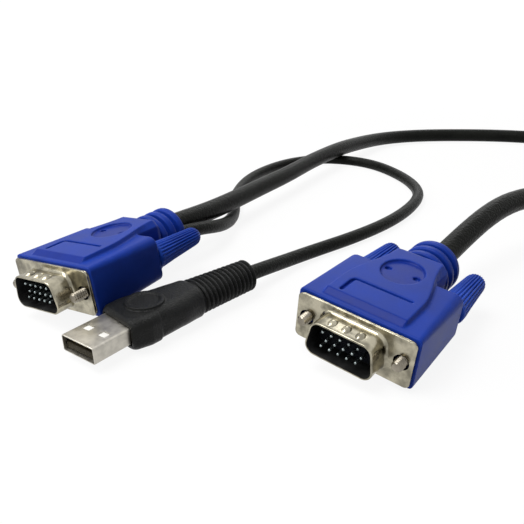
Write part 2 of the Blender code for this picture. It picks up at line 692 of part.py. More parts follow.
def usb_overmould(frame):
    """Grip block with a pocket for the shell, tapering shoulder, pad and ribbed sleeve."""
    pivot = frame_empty("usb_body_frame", (-USB_EXPOSED, 0, 0), (USB_BODY_TURN, 0, 0), frame)
    tall, corner, step = GRIP_BLOCK_HEIGHT / 2, GRIP_BLOCK_CORNER, GRIP_BLOCK_STEP
    root_half, root_tall = SLEEVE_ROOT_WIDTH / 2, SLEEVE_ROOT_HEIGHT / 2

    def section(x, half_width, half_height, round_off):
        return (-x, rounded_box_outline(half_width, -half_height, half_height, round_off, 4))

    front_half, rear_half = GRIP_BLOCK_FRONT_WIDTH / 2, GRIP_BLOCK_REAR_WIDTH / 2
    shoulder_half = SHOULDER_WIDTH / 2
    shoulder_end = GRIP_BLOCK_LENGTH + SHOULDER_LENGTH
    sections = [
        section(0, front_half - step, tall - step, corner),
        section(step, front_half, tall, corner),
        section(0.6 * GRIP_BLOCK_LENGTH, rear_half, tall, corner),
        section(GRIP_BLOCK_LENGTH - step, rear_half - step / 2, tall, corner),
        section(GRIP_BLOCK_LENGTH, shoulder_half, tall, corner),
        section(GRIP_BLOCK_LENGTH + 0.45 * SHOULDER_LENGTH, shoulder_half, tall, 1.5 * corner),
        section(shoulder_end - 2 * step, root_half, root_tall - step / 2, 0.85 * root_tall),
        section(shoulder_end, root_half - step, root_tall - step, 0.85 * root_tall),
    ]
    body = add_object("usb_overmould", loft("usb_overmould", sections), pivot, finish=black_rubber,
                      smooth=math.radians(32))
    sleeve = loft("usb_sleeve", sleeve_sections(-shoulder_end, -shoulder_end - SLEEVE_LENGTH))
    boolean(body, cutter("usb_sleeve", sleeve, pivot), "UNION")
    pad = cylinder_mesh("usb_pad", PAD_DIAMETER / 2, 2 * PAD_RISE, "Z", 24, (-PAD_FROM_FRONT, 0, tall))
    boolean(body, cutter("usb_pad", pad, pivot), "UNION")
    dish = cylinder_mesh("usb_dish", PAD_DIAMETER / 2 - PAD_RIM, PAD_RISE, "Z", 24,
                         (-PAD_FROM_FRONT, 0, tall + PAD_RISE))
    boolean(body, cutter("usb_dish", dish, pivot), "DIFFERENCE")
    pocket = box_mesh("usb_pocket", (2 * (USB_SEATED + GAP), USB_WIDTH + 2 * GAP, USB_HEIGHT + 2 * GAP),
                      (-USB_EXPOSED, 0, 0))
    boolean(body, cutter("usb_pocket", pocket, frame), "DIFFERENCE")
    return pivot


def usb_plug():
    frame = frame_empty("usb_frame", USB_AT, USB_TURN)
    usb_shell(frame)
    usb_tongue(frame)
    return usb_overmould(frame)


def smooth_path(route, step):
    """Points at even steps along a smooth curve through the route's points."""
    points = [Vector(p) for p in route]
    padded = [2 * points[0] - points[1]] + points + [2 * points[-1] - points[-2]]
    dense = []
    for a, b, c, d in zip(padded, padded[1:], padded[2:], padded[3:]):
        for i in range(24):
            t = i / 24
            dense.append(0.5 * (2 * b + (c - a) * t + (2 * a - 5 * b + 4 * c - d) * t * t
                                + (3 * b - a - 3 * c + d) * t ** 3))
    dense.append(points[-1])
    travelled = [0.0]
    for one, two in zip(dense, dense[1:]):
        travelled.append(travelled[-1] + (two - one).length)
    count = max(2, round(travelled[-1] / step))
    result = []
    index = 0
    for i in range(count + 1):
        goal = travelled[-1] * i / count
        while index < len(travelled) - 2 and travelled[index + 1] < goal:
            index += 1
        share = (goal - travelled[index]) / (travelled[index + 1] - travelled[index])
        result.append(dense[index].lerp(dense[index + 1], min(1.0, share)))
    return result


def cord(name, starts, route, ends, diameter):
    """Cord as a round curve with closed ends, straight where it leaves a boot or sleeve."""
    curve = bpy.data.curves.new(name, "CURVE")
    curve.dimensions = "3D"
    curve.bevel_depth = diameter / 2
    curve.bevel_resolution = 2
    curve.use_fill_caps = True
    middle = starts[1:] + millimetres(route) + ends[:1]
    path = starts[:1] + smooth_path(middle, CORD_STEP * diameter) + ends[1:]
    spline = curve.splines.new("POLY")
    spline.points.add(len(path) - 1)
    for point, place in zip(spline.points, path):
        point.co = (*place, 1.0)
    curve.materials.append(cord_rubber)
    obj = bpy.data.objects.new(name, curve)
    parts.objects.link(obj)
    return obj


def millimetres(route):
    return [tuple(value * MM for value in point) for point in route]


def cord_start(frame, x, side, height, run):
    """The first two points of a cord: at its exit and straight out behind it."""
    matrix = world_matrix(frame)
    return [tuple(matrix @ Vector((x - GAP, side, height))),
            tuple(matrix @ Vector((x - GAP - run, side, height)))]


def coil_lift():
    """Height of the coil's underside, which the tie holds off the floor."""
    return TIE_THICKNESS + GAP


def coil_section_radius():
    """Six strands round one: the bundle is three cords across."""
    return 1.5 * MAIN_CORD_DIAMETER


def strand_offset():
    """Distance from the coil's mid-turn circle to the strand that runs outside it."""
    section = coil_section_radius()
    strand = MAIN_CORD_DIAMETER / 2
    drop = section - strand
    return math.sqrt((section + strand + 2 * GAP) ** 2 - drop ** 2)


def on_coil(angle):
    """Point of the outer strand, beside the coil at the given angle."""
    reach = COIL_TURN_DIAMETER / 2 + strand_offset()
    return (COIL_CENTRE[0] + reach * math.cos(angle), COIL_CENTRE[1] + reach * math.sin(angle),
            coil_lift() + MAIN_CORD_DIAMETER / 2)


def coil():
    """Turned ring with the lobes of seven strands packed together."""
    strand = MAIN_CORD_DIAMETER / 2
    middle = COIL_TURN_DIAMETER / 2
    height = coil_lift() + coil_section_radius()
    mesh = bpy.data.meshes.new("main_cord_coil")
    work = bmesh.new()
    outline = []
    for lobe in range(6):
        turn = math.radians(60 * lobe)
        for swing in (-40, 0, 40):
            angle = turn + math.radians(swing)
            outline.append((middle + 2 * strand * math.cos(turn) + strand * math.cos(angle),
                            height + 2 * strand * math.sin(turn) + strand * math.sin(angle)))
    verts = [work.verts.new((x, 0, z)) for x, z in outline]
    for i in range(len(verts)):
        work.edges.new((verts[i - 1], verts[i]))
    work.to_mesh(mesh)
    work.free()
    ring = add_object("main_cord_coil", mesh, place=(*COIL_CENTRE, 0))
    screw = ring.modifiers.new("Turn", "SCREW")
    screw.axis = "Z"
    screw.steps = COIL_STEPS
    screw.render_steps = COIL_STEPS
    screw.use_merge_vertices = True
    screw.merge_threshold = 0.01 * MM
    turned_mesh = evaluated_mesh(ring)
    work = bmesh.new()
    work.from_mesh(turned_mesh)
    bmesh.ops.recalc_face_normals(work, faces=work.faces)
    work.to_mesh(turned_mesh)
    work.free()
    bpy.data.objects.remove(ring)
    add_object("main_cord_coil", turned_mesh, place=(*COIL_CENTRE, 0), finish=cord_rubber,
               smooth=math.radians(40))


def belt_outline(circles, grow, points=15):
    """Outline of a belt round two circles side by side, each (middle, height, radius)."""
    (x1, z1, r1), (x2, z2, r2) = circles
    distance = math.hypot(x2 - x1, z2 - z1)
    lean = math.atan2(z2 - z1, x2 - x1)
    spread = math.acos((r1 - r2) / distance)
    outline = []
    for x, z, r, start, end in ((x1, z1, r1, spread, 2 * math.pi - spread),
                                (x2, z2, r2, -spread, spread)):
        for i in range(points):
            angle = lean + start + (end - start) * i / (points - 1)
            outline.append((x + (r + grow) * math.cos(angle), z + (r + grow) * math.sin(angle)))
    return outline


def coil_tie():
    """Strap round the coil and the two cord ends that run into it."""
    section = coil_section_radius()
    strand = MAIN_CORD_DIAMETER / 2
    lift = coil_lift()
    circles = ((0, lift + section, section), (strand_offset(), lift + strand, strand))
    inner = belt_outline(circles, GAP)
    outer = belt_outline(circles, GAP + TIE_THICKNESS)
    mesh = loft("coil_tie", [(-TIE_WIDTH / 2, outer), (TIE_WIDTH / 2, outer)])
    middle = COIL_TURN_DIAMETER / 2
    place = (COIL_CENTRE[0] + middle * math.cos(TIE_ANGLE), COIL_CENTRE[1] + middle * math.sin(TIE_ANGLE), 0)
    strap = add_object("coil_tie", mesh, place=place, finish=black_rubber, smooth=math.radians(40))
    strap.rotation_euler = (0, 0, TIE_ANGLE - math.pi / 2)
    hollow = cutter("coil_tie_hollow", loft("hollow", [(-TIE_WIDTH, inner), (TIE_WIDTH, inner)]), None, place)
    hollow.rotation_euler = strap.rotation_euler
    boolean(strap, hollow, "DIFFERENCE")


def cords(left, right, usb_body):
    """The main cord's two free stretches, its coil and tie, and the USB lead."""
    run = 4.0 * MM
    tie_side = 4 * GAP / COIL_TURN_DIAMETER
    start = cord_start(left, boot_end(), *MAIN_EXIT_LEFT, run)
    beside = [on_coil(math.radians(angle)) for angle in (12, -8, -28)]
    cord("main_cord_left", start, MAIN_LEFT_ROUTE, beside + [on_coil(TIE_ANGLE + tie_side)],
         MAIN_CORD_DIAMETER)
    start = cord_start(right, boot_end(), 0, 0, run)
    beside = [on_coil(math.radians(angle)) for angle in (-92, -75, -60)]
    cord("main_cord_right", start, MAIN_RIGHT_ROUTE, beside + [on_coil(TIE_ANGLE - tie_side)],
         MAIN_CORD_DIAMETER)
    sleeve_end = -(GRIP_BLOCK_LENGTH + SHOULDER_LENGTH + SLEEVE_LENGTH)
    start = cord_start(usb_body, sleeve_end, 0, 0, run)
    finish = cord_start(left, boot_end(), *LEAD_EXIT_LEFT, run)
    cord("usb_lead", start, USB_LEAD_ROUTE, finish[::-1], USB_LEAD_DIAMETER)
    coil()
    coil_tie()


remove_everything()
parts = new_collection("kvm_cable")
cutters = new_collection("cutters")

blue_plastic = material("blue moulded plastic", (0.045, 0.085, 0.36), 0.42, 0.0)
blue_grip = material("blue ridged grip", (0.035, 0.07, 0.31), 0.5, 0.0)
nickel = material("nickel plate", (0.66, 0.63, 0.56), 0.25, 1.0)
pin_metal = material("bright pin metal", (0.75, 0.74, 0.7), 0.2, 1.0)
steel = material("screw steel", (0.6, 0.59, 0.56), 0.3, 1.0)
tinned_steel = material("tinned steel sheet", (0.58, 0.55, 0.5), 0.35, 1.0)
gold = material("gold contacts", (0.8, 0.6, 0.25), 0.25, 1.0)
black_plastic = material("black insulator plastic", (0.012, 0.012, 0.014), 0.5, 0.0)
black_rubber = material("black moulded rubber", (0.014, 0.014, 0.015), 0.5, 0.0)
cord_rubber = material("black cord rubber", (0.02, 0.02, 0.021), 0.45, 0.0)

left_plug = display_plug("left_plug", PLUG_LEFT_AT, PLUG_LEFT_TURN, 0)
right_plug = display_plug("right_plug", PLUG_RIGHT_AT, PLUG_RIGHT_TURN, RIGHT_SCREW_SETBACK)
usb_body_frame = usb_plug()
cords(left_plug, right_plug, usb_body_frame)
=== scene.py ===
"""KVM cable, dressed: two display plugs on one thick cord and a USB plug on a thin lead."""
import math

import bmesh
import bpy
from mathutils import Matrix, Vector


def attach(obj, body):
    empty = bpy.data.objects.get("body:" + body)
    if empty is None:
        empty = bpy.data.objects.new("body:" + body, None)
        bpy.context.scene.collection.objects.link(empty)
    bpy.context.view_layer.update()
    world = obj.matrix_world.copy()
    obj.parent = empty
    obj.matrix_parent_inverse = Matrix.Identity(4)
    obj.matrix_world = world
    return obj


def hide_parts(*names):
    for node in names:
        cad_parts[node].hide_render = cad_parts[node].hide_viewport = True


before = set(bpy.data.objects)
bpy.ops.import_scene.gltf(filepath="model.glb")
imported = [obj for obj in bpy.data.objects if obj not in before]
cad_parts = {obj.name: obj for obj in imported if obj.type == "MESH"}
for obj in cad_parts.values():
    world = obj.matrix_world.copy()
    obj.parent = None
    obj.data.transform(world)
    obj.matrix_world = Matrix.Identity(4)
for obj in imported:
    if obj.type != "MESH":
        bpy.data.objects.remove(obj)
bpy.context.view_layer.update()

bpy.context.scene.view_settings.view_transform = "Standard"

# Camera. It looks down on the three plugs from in front, as the product picture does.
# The frame is square, with the object a little right of the middle.
FRAME_PIXELS = 524
FOCAL_PIXELS = 616
SHIFT_PIXELS = 6
camera_data = bpy.data.cameras.new("camera")
camera_data.sensor_width = 36.0
camera_data.lens = camera_data.sensor_width * FOCAL_PIXELS / FRAME_PIXELS
camera_data.shift_x = SHIFT_PIXELS / FRAME_PIXELS
camera_data.shift_y = -SHIFT_PIXELS / FRAME_PIXELS
camera = bpy.data.objects.new("camera", camera_data)
camera.location = (0.0030, -0.1518, 0.0840)
camera.rotation_euler = (math.radians(66), 0, 0)
bpy.context.scene.collection.objects.link(camera)
bpy.context.scene.camera = camera

# Studio. A wide pale floor and a dim warm tent, with broad lamps above, to the left and behind:
# tops are light, sides are deep and shadows stay soft. Seen or mirrored, floor and tent are white.
FLOOR_SIZE = 60.0
SHADOW_SHARE = 0.15
SHADOW_REACH = 0.25
FLOOR_COLOUR = (0.6, 0.6, 0.6, 1)
FLOOR_GLOW = 1.06
TENT_COLOUR = (1.0, 0.97, 0.9, 1)
TENT_STRENGTH = 0.16


def straight_rays(nodes, links):
    """One for a ray from the camera or by way of a mirror or glass, none for the light."""
    ray = nodes.new("ShaderNodeLightPath")
    seen = ray.outputs["Is Camera Ray"]
    for way in ("Is Glossy Ray", "Is Transmission Ray"):
        either = nodes.new("ShaderNodeMath")
        either.operation = "MAXIMUM"
        links.new(seen, either.inputs[0])
        links.new(ray.outputs[way], either.inputs[1])
        seen = either.outputs[0]
    return seen


def blend_shaders(nodes, links, share, lighting, seen, target):
    """Lights the object with one shader and shows the other, by the share of straight rays."""
    blend = nodes.new("ShaderNodeMixShader")
    links.new(share, blend.inputs["Fac"])
    links.new(lighting, blend.inputs[1])
    links.new(seen, blend.inputs[2])
    links.new(blend.outputs["Shader"], target)


bpy.ops.mesh.primitive_plane_add(size=FLOOR_SIZE)
floor = bpy.context.object
floor.name = "studio_floor"
floor_finish = bpy.data.materials.new("studio_floor")
floor_finish.use_nodes = True
nodes, links = floor_finish.node_tree.nodes, floor_finish.node_tree.links
nodes["Principled BSDF"].inputs["Base Color"].default_value = FLOOR_COLOUR
nodes["Principled BSDF"].inputs["Roughness"].default_value = 0.9
glow = nodes.new("ShaderNodeEmission")
glow.inputs["Strength"].default_value = FLOOR_GLOW
place = nodes.new("ShaderNodeTexCoord")
distance = nodes.new("ShaderNodeVectorMath")
distance.operation = "LENGTH"
links.new(place.outputs["Object"], distance.inputs[0])
keep = nodes.new("ShaderNodeMapRange")
keep.inputs["From Min"].default_value = SHADOW_REACH
keep.inputs["From Max"].default_value = 3 * SHADOW_REACH
keep.inputs["To Min"].default_value = 1 - SHADOW_SHARE
keep.inputs["To Max"].default_value = 1.0
links.new(distance.outputs["Value"], keep.inputs["Value"])
share = nodes.new("ShaderNodeMath")
share.operation = "MULTIPLY"
links.new(straight_rays(nodes, links), share.inputs[0])
links.new(keep.outputs["Result"], share.inputs[1])
blend_shaders(nodes, links, share.outputs[0], nodes["Principled BSDF"].outputs["BSDF"],
              glow.outputs["Emission"], nodes["Material Output"].inputs["Surface"])
floor.data.materials.append(floor_finish)

world = bpy.data.worlds.new("studio")
bpy.context.scene.world = world
world.use_nodes = True
nodes, links = world.node_tree.nodes, world.node_tree.links
tent = nodes["Background"]
tent.inputs["Color"].default_value = TENT_COLOUR
tent.inputs["Strength"].default_value = TENT_STRENGTH
white = nodes.new("ShaderNodeBackground")
white.inputs["Color"].default_value = (1, 1, 1, 1)
white.inputs["Strength"].default_value = 1.0
blend_shaders(nodes, links, straight_rays(nodes, links), tent.outputs["Background"],
              white.outputs["Background"], nodes["World Output"].inputs["Surface"])


def lamp(name, power, size, place, aim):
    """Square soft lamp that faces the point it is aimed at."""
    light = bpy.data.lights.new(name, "AREA")
    light.energy = power
    light.size = size
    obj = bpy.data.objects.new(name, light)
    obj.location = place
    obj.rotation_euler = (Vector(aim) - Vector(place)).to_track_quat("-Z", "Y").to_euler()
    bpy.context.scene.collection.objects.link(obj)


lamp("overhead_lamp", power=10.0, size=0.6, place=(-0.35, -0.1, 0.95), aim=(0.0, 0.05, 0.0))
lamp("left_lamp", power=3.5, size=0.5, place=(-0.85, -0.2, 0.5), aim=(0.0, 0.0, 0.0))
lamp("back_lamp", power=1.2, size=0.35, place=(0.25, 0.9, 0.6), aim=(0.0, 0.05, 0.0))

# Main cord. Black PVC jacket, 6.9 mm, moulded into the boot of each display plug. The long
# middle is wound into a coil of five turns, outside the picture.
MM = 0.001
GAP = 0.3 * MM
CORD_DIAMETER = 6.9 * MM
LEFT_EXIT = (-2.0, 0.5)
HOOD_FRONT = -1.6 * MM
BOOT_END = -45.5 * MM
BOOT_RUN = 4.0 * MM
MAIN_LEFT_ROUTE = [
    (-14.9, 51.4, 10.0), (-3.5, 71.4, 9.0), (6.5, 88.3, 8.6), (16.8, 104.3, 8.5),
    (27.3, 123.2, 8.5), (41.7, 145.0, 8.4), (51.1, 159.3, 7.4), (71.6, 185.9, 4.6),
    (93.7, 196.9, 3.8), (121.2, 199.3, 3.6), (148.9, 196.5, 3.6), (180.0, 185.2, 3.6),
    (208.0, 161.2, 3.6), (225.0, 128.2, 3.6),
]
MAIN_RIGHT_ROUTE = [
    (69.2, 22.2, 16.4), (85.6, 37.1, 19.5), (107.0, 48.2, 17.0), (130.0, 51.2, 10.0),
    (153.0, 47.2, 4.6),
]
COIL_CENTRE = (181.0 * MM, 93.2 * MM)
COIL_RADIUS = 38.0 * MM
COIL_LIFT = 1.3 * MM
COIL_TURN_POINTS = 36
BUNDLE_RADIUS = 1.5 * CORD_DIAMETER
BUNDLE_HEIGHT = COIL_LIFT + BUNDLE_RADIUS
TURN_LOBES = (-1, -2, -3, -4, -5, -6)
STEP_STARTS = 0.45
STEP_TAKES = 0.25
TIE_ANGLE = -45
COMING_ANGLES = (12, -4)
GOING_ANGLES = (-92, -82)
CORD_STEP = 3.0 * MM
JACKET_BLACK = (0.0055, 0.006, 0.005)


def plug_frame(middle, heading, nose_up, side_up):
    """Frame of a plug: middle of its front in mm, X out of its mouth, Y to the right, Z up."""
    turn = Matrix.Rotation(math.radians(heading), 4, "Z")
    turn = turn @ Matrix.Rotation(math.radians(-nose_up), 4, "Y")
    turn = turn @ Matrix.Rotation(math.radians(side_up), 4, "X")
    return Matrix.Translation(Vector(middle) * MM) @ turn


LEFT_PLUG = plug_frame((-51.3, -4.1, 9.4), -125.5, -2.1, 7.6)
RIGHT_PLUG = plug_frame((25.0, -30.2, 9.0), -128.2, -2.8, -6.2)
DISPLAY_PLUGS = {"left": LEFT_PLUG, "right": RIGHT_PLUG}


def boot_exit(plug, across, up):
    """First two points of a cord: on the boot's rear face and straight out behind it."""
    return [plug @ Vector((BOOT_END - GAP - run, across * MM, up * MM)) for run in (0, BOOT_RUN)]


def metres(route):
    """A route given in millimetres, as points of the scene."""
    return [Vector(point) * MM for point in route]


def smooth_path(points, step):
    """Points at even steps along a smooth curve through the given ones."""
    padded = [2 * points[0] - points[1], *points, 2 * points[-1] - points[-2]]
    dense, parts = [], 24
    for a, b, c, d in zip(padded, padded[1:], padded[2:], padded[3:]):
        for i in range(parts):
            t = i / parts
            dense.append(0.5 * (2 * b + (c - a) * t + (2 * a - 5 * b + 4 * c - d) * t * t
                                + (3 * b - a - 3 * c + d) * t ** 3))
    dense.append(points[-1])
    path, waited = [dense[0]], 0.0
    for one, two in zip(dense, dense[1:]):
        waited += (two - one).length
        if waited >= step:
            path.append(two)
            waited = 0.0
    if (path[-1] - dense[-1]).length < 0.5 * step:
        path.pop()
    return path + [dense[-1]]


def eased(path, rounds):
    """Irons out the corners; the ends stay where they are."""
    for _ in range(rounds):
        inner = [0.5 * here + 0.25 * (before + after)
                 for before, here, after in zip(path, path[1:-1], path[2:])]
        path = [path[0], *inner, path[-1]]
    return path


def s_curve(share):
    """Share of a change that starts and ends softly."""
    return share * share * (3 - 2 * share)


def cord_curve(name, path, diameter):
    """Cord as a round curve; its bevel is fine enough to look turned."""
    curve = bpy.data.curves.new(name, "CURVE")
    curve.dimensions = "3D"
    curve.bevel_depth = diameter / 2
    curve.bevel_resolution = 6
    curve.use_fill_caps = True
    spline = curve.splines.new("POLY")
    spline.points.add(len(path) - 1)
    for point, place in zip(spline.points, path):
        point.co = (*place, 1.0)
    obj = bpy.data.objects.new(name, curve)
    bpy.context.scene.collection.objects.link(obj)
    return obj


def beside_coil(angle):
    """Point of the strand that lies on the floor against the coil's outer side."""
    strand = CORD_DIAMETER / 2
    apart = BUNDLE_RADIUS + strand + 2 * GAP
    reach = COIL_RADIUS + math.sqrt(apart ** 2 - (BUNDLE_RADIUS - strand) ** 2)
    return coil_point(angle, reach, COIL_LIFT + strand)


def coil_point(angle, reach, height):
    """Point round the coil's middle."""
    turn = math.radians(angle)
    x, y = COIL_CENTRE
    return Vector((x + reach * math.cos(turn), y + reach * math.sin(turn), height))


def lobe(number):
    """Reach and height of one of the six places round the bundle's middle."""
    turn = math.radians(60 * number)
    return COIL_RADIUS + CORD_DIAMETER * math.cos(turn), BUNDLE_HEIGHT + CORD_DIAMETER * math.sin(turn)


def coil_turns():
    """Five turns clockwise from the tie: each keeps its place in the bundle, then steps on to the next."""
    points = []
    for here, there in zip(TURN_LOBES, TURN_LOBES[1:]):
        (reach_1, height_1), (reach_2, height_2) = lobe(here), lobe(there)
        for i in range(COIL_TURN_POINTS):
            share = i / COIL_TURN_POINTS
            step = s_curve(min(1.0, max(0.0, (share - STEP_STARTS) / STEP_TAKES)))
            points.append(coil_point(TIE_ANGLE - 360 * share, reach_1 + (reach_2 - reach_1) * step,
                                     height_1 + (height_2 - height_1) * step))
    return points


def clouded_finish(name, colour, shades, roughness, cloud, grain, relief, stretch=(1, 1, 1),
                   metallic=0.0, specular=0.5):
    """Finish with cloudy colour and gloss and a fine relief. Shades are places on the ramp, each
    with a factor of the colour; cloud and grain are scale and detail, relief strength and depth."""
    made = bpy.data.materials.new(name)
    made.use_nodes = True
    nodes, links = made.node_tree.nodes, made.node_tree.links
    shader = nodes["Principled BSDF"]
    shader.inputs["Metallic"].default_value = metallic
    shader.inputs["Specular IOR Level"].default_value = specular
    place = nodes.new("ShaderNodeTexCoord")
    clouds = nodes.new("ShaderNodeTexNoise")
    clouds.inputs["Scale"].default_value = cloud[0]
    clouds.inputs["Detail"].default_value = cloud[1]
    links.new(place.outputs["Object"], clouds.inputs["Vector"])
    tint = nodes.new("ShaderNodeValToRGB")
    for element, (position, factor) in zip(tint.color_ramp.elements, shades):
        element.position = position
        element.color = (*[min(1, c * factor) for c in colour], 1)
    links.new(clouds.outputs["Fac"], tint.inputs["Fac"])
    links.new(tint.outputs["Color"], shader.inputs["Base Color"])
    satin = nodes.new("ShaderNodeMapRange")
    satin.inputs["To Min"].default_value = roughness[0]
    satin.inputs["To Max"].default_value = roughness[1]
    links.new(clouds.outputs["Fac"], satin.inputs["Value"])
    links.new(satin.outputs["Result"], shader.inputs["Roughness"])
    rolled = nodes.new("ShaderNodeMapping")
    rolled.inputs["Scale"].default_value = stretch
    links.new(place.outputs["Object"], rolled.inputs["Vector"])
    pits = nodes.new("ShaderNodeTexNoise")
    pits.inputs["Scale"].default_value = grain[0]
    pits.inputs["Detail"].default_value = grain[1]
    links.new(rolled.outputs["Vector"], pits.inputs["Vector"])
    bump = nodes.new("ShaderNodeBump")
    bump.inputs["Strength"].default_value = relief[0]
    bump.inputs["Distance"].default_value = relief[1]
    links.new(pits.outputs["Fac"], bump.inputs["Height"])
    links.new(bump.outputs["Normal"], shader.inputs["Normal"])
    return made


def black_plastic(name, colour, roughness, grain, shine=0.1):
    """Black plastic: faint cloudy greying, fine pits and a satin surface."""
    return clouded_finish(name, colour, ((0.3, 0.6), (0.75, 1.7)), (roughness - 0.08, roughness + 0.1),
                          cloud=(90, 6), grain=(grain, 3), relief=(0.7, 0.0004), specular=shine)


cord_jacket = black_plastic("cord_jacket", JACKET_BLACK, roughness=0.34, grain=1400, shine=0.07)
left_run = boot_exit(LEFT_PLUG, *LEFT_EXIT)
right_run = boot_exit(RIGHT_PLUG, 0, 0)
coming = [beside_coil(angle) for angle in COMING_ANGLES]
going = [beside_coil(angle) for angle in GOING_ANGLES]
middle = [left_run[1], *metres(MAIN_LEFT_ROUTE), *coming, *coil_turns(),
          coil_point(TIE_ANGLE, *lobe(TURN_LOBES[-1])), *reversed(going),
          *reversed(metres(MAIN_RIGHT_ROUTE)), right_run[1]]
main_path = eased([left_run[0], *smooth_path(middle, CORD_STEP), right_run[0]], rounds=10)
main_cord = cord_curve("main_cord", main_path, CORD_DIAMETER)
main_cord.data.materials.append(cord_jacket)
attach(main_cord, "cable")
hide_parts("main_cord_left", "main_cord_right", "main_cord_coil")

# USB lead. Thin black PVC lead, 4.5 mm, from the back of the USB plug round the floor, under
# the main cord and into the left display plug's boot.
LEAD_DIAMETER = 4.5 * MM
LEAD_EXIT = (4.6, -0.8)
USB_PLUG = plug_frame((-39.1, -27.8, 4.6), -128.0, -0.6, 2.0)
USB_EXPOSED = 11.9 * MM
OVERMOULD_TURN = -9.4
USB_BODY = (USB_PLUG @ Matrix.Translation((-USB_EXPOSED, 0, 0))
            @ Matrix.Rotation(math.radians(OVERMOULD_TURN), 4, "Z"))
SLEEVE_END = -43.8 * MM
USB_LEAD_ROUTE = [
    (8.9, 21.5, 3.9), (17.3, 31.3, 2.6), (26.2, 38.9, 2.4), (35.7, 46.4, 2.4),
    (48.3, 58.1, 2.4), (58.1, 69.7, 2.4), (65.9, 81.9, 2.4), (71.7, 95.9, 2.4),
    (72.0, 110.0, 2.4), (69.3, 122.3, 2.4), (63.1, 137.1, 2.4), (54.6, 146.4, 2.4),
    (41.8, 151.6, 2.4), (32.7, 151.3, 2.4), (20.3, 145.1, 2.4), (12.7, 137.9, 2.4),
    (6.3, 129.3, 2.4), (1.2, 120.3, 2.4), (-2.7, 108.9, 2.4), (-5.1, 97.4, 2.4),
    (-5.8, 85.4, 2.4), (-5.3, 76.8, 2.4), (-5.6, 67.9, 2.7), (-6.8, 58.4, 4.1),
    (-8.9, 49.9, 6.0), (-11.0, 44.1, 7.7), (-13.4, 39.8, 9.2), (-15.8, 36.7, 10.0),
]
lead_run = boot_exit(LEFT_PLUG, *LEAD_EXIT)
sleeve_run = [USB_BODY @ Vector((SLEEVE_END - GAP - run, 0, 0)) for run in (0, BOOT_RUN)]
middle = [sleeve_run[1], *metres(USB_LEAD_ROUTE), lead_run[1]]
lead_path = eased([sleeve_run[0], *smooth_path(middle, CORD_STEP), lead_run[0]], rounds=6)
usb_lead = cord_curve("usb_lead_jacket", lead_path, LEAD_DIAMETER)
usb_lead.data.materials.append(cord_jacket)
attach(usb_lead, "cable")
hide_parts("usb_lead")

# Hoods. Each display plug has one blue PVC moulding over its metal front: ears for the two
# thumbscrews, a raised deck that narrows to the neck, a corner-shaped groove, a round recess
# with two dots, and a boot of three rings on the cord. Its texture is satin and slightly pitted.
HOOD_WIDTH = 31.8 * MM
HOOD_HEIGHT = 13.9 * MM
HOOD_CORNER = 1.2 * MM
EAR_BACK = HOOD_FRONT - 23.3 * MM
EAR_REAR_DROP = 0.35 * MM
EAR_REAR_ROUNDING = 2.5 * MM
DECK_RISE = 1.05 * MM
DECK_RAMP = 2.8 * MM
DECK_FRONT_WIDTH = 20.8 * MM
DECK_REAR_WIDTH = 12.8 * MM
DECK_TAPER_START = 10.5 * MM
DECK_LENGTH = 33.2 * MM
DECK_WALL = 0.6 * MM
DECK_WALL_HEIGHT = 1.2 * MM
DECK_WALL_GROWTH = 0.5
DECK_REAR_ROUNDING = 0.8 * MM
NECK_WIDTH = 16.0 * MM
PANEL_LEFT = -7.3 * MM
PANEL_RIGHT = 8.2 * MM
PANEL_DEPTH = 6.6 * MM
PANEL_CORNER = 1.2 * MM
PANEL_FROM_FRONT = 3.6 * MM
GROOVE_WIDTH = 0.85 * MM
GROOVE_DEPTH = 0.9 * MM
RECESS_LENGTH = 12.4 * MM
RECESS_WIDTH = 10.9 * MM
RECESS_DEPTH = 0.7 * MM
RECESS_FROM_FRONT = 21.4 * MM
DOT_DIAMETER = 1.7 * MM
DOT_DEPTH = 1.6 * MM
DOT_SPACING = 7.8 * MM
BOOT_DIAMETER = 15.2 * MM
BOOT_CORE_DIAMETER = 11.8 * MM
BOOT_RING_PITCH = 3.7 * MM
BOOT_GROOVE = 1.05 * MM
BOOT_RINGS = 3
BOOT_ROUNDING = 0.7 * MM
SCREW_SPACING = 24.99 * MM
SCREW_BORE = 3.9 * MM
HOOD_LIP = 0.55 * MM
HOOD_VOXEL = 0.24 * MM
HOOD_BLUE = (0.007, 0.034, 0.28)
# Darker blue for the hood's recess and front ramp: painted shade.
RECESS_RAMP_PAINTED_SHADE_BLUE = (0.004, 0.022, 0.22)


def pick(obj):
    """Selects one object alone and makes it the active one."""
    bpy.ops.object.select_all(action="DESELECT")
    obj.select_set(True)
    bpy.context.view_layer.objects.active = obj


def loft(name, sections):
    """Solid through outlines of equal point count: a flat face, pulled from each to the next."""
    x, outline = sections[0]
    bpy.ops.mesh.primitive_circle_add(vertices=len(outline), fill_type="NGON")
    obj = bpy.context.object
    obj.name = name
    for vert, (y, z) in zip(obj.data.vertices, outline):
        vert.co = (x, y, z)
    pick(obj)
    bpy.ops.object.mode_set(mode="EDIT")
    bpy.ops.mesh.select_mode(type="FACE")
    bpy.ops.mesh.select_all(action="SELECT")
    for (_, before), (x, after) in zip(sections, sections[1:]):
        bpy.ops.mesh.extrude_region_move()
        work = bmesh.from_edit_mesh(obj.data)
        for vert in [v for v in work.verts if v.select]:
            _, y, z = vert.co
            away = [(y - old_y) ** 2 + (z - old_z) ** 2 for old_y, old_z in before]
            corner = away.index(min(away))
            vert.co = (x, *after[corner])
    bmesh.update_edit_mesh(obj.data)
    bpy.ops.mesh.select_all(action="SELECT")
    bpy.ops.mesh.normals_make_consistent()
    bpy.ops.object.mode_set(mode="OBJECT")
    return obj


def modify(obj, kind, **settings):
    """Adds one modifier and applies it."""
    pick(obj)
    step = obj.modifiers.new(kind.title(), kind)
    for key, value in settings.items():
        setattr(step, key, value)
    bpy.ops.object.modifier_apply(modifier=step.name)


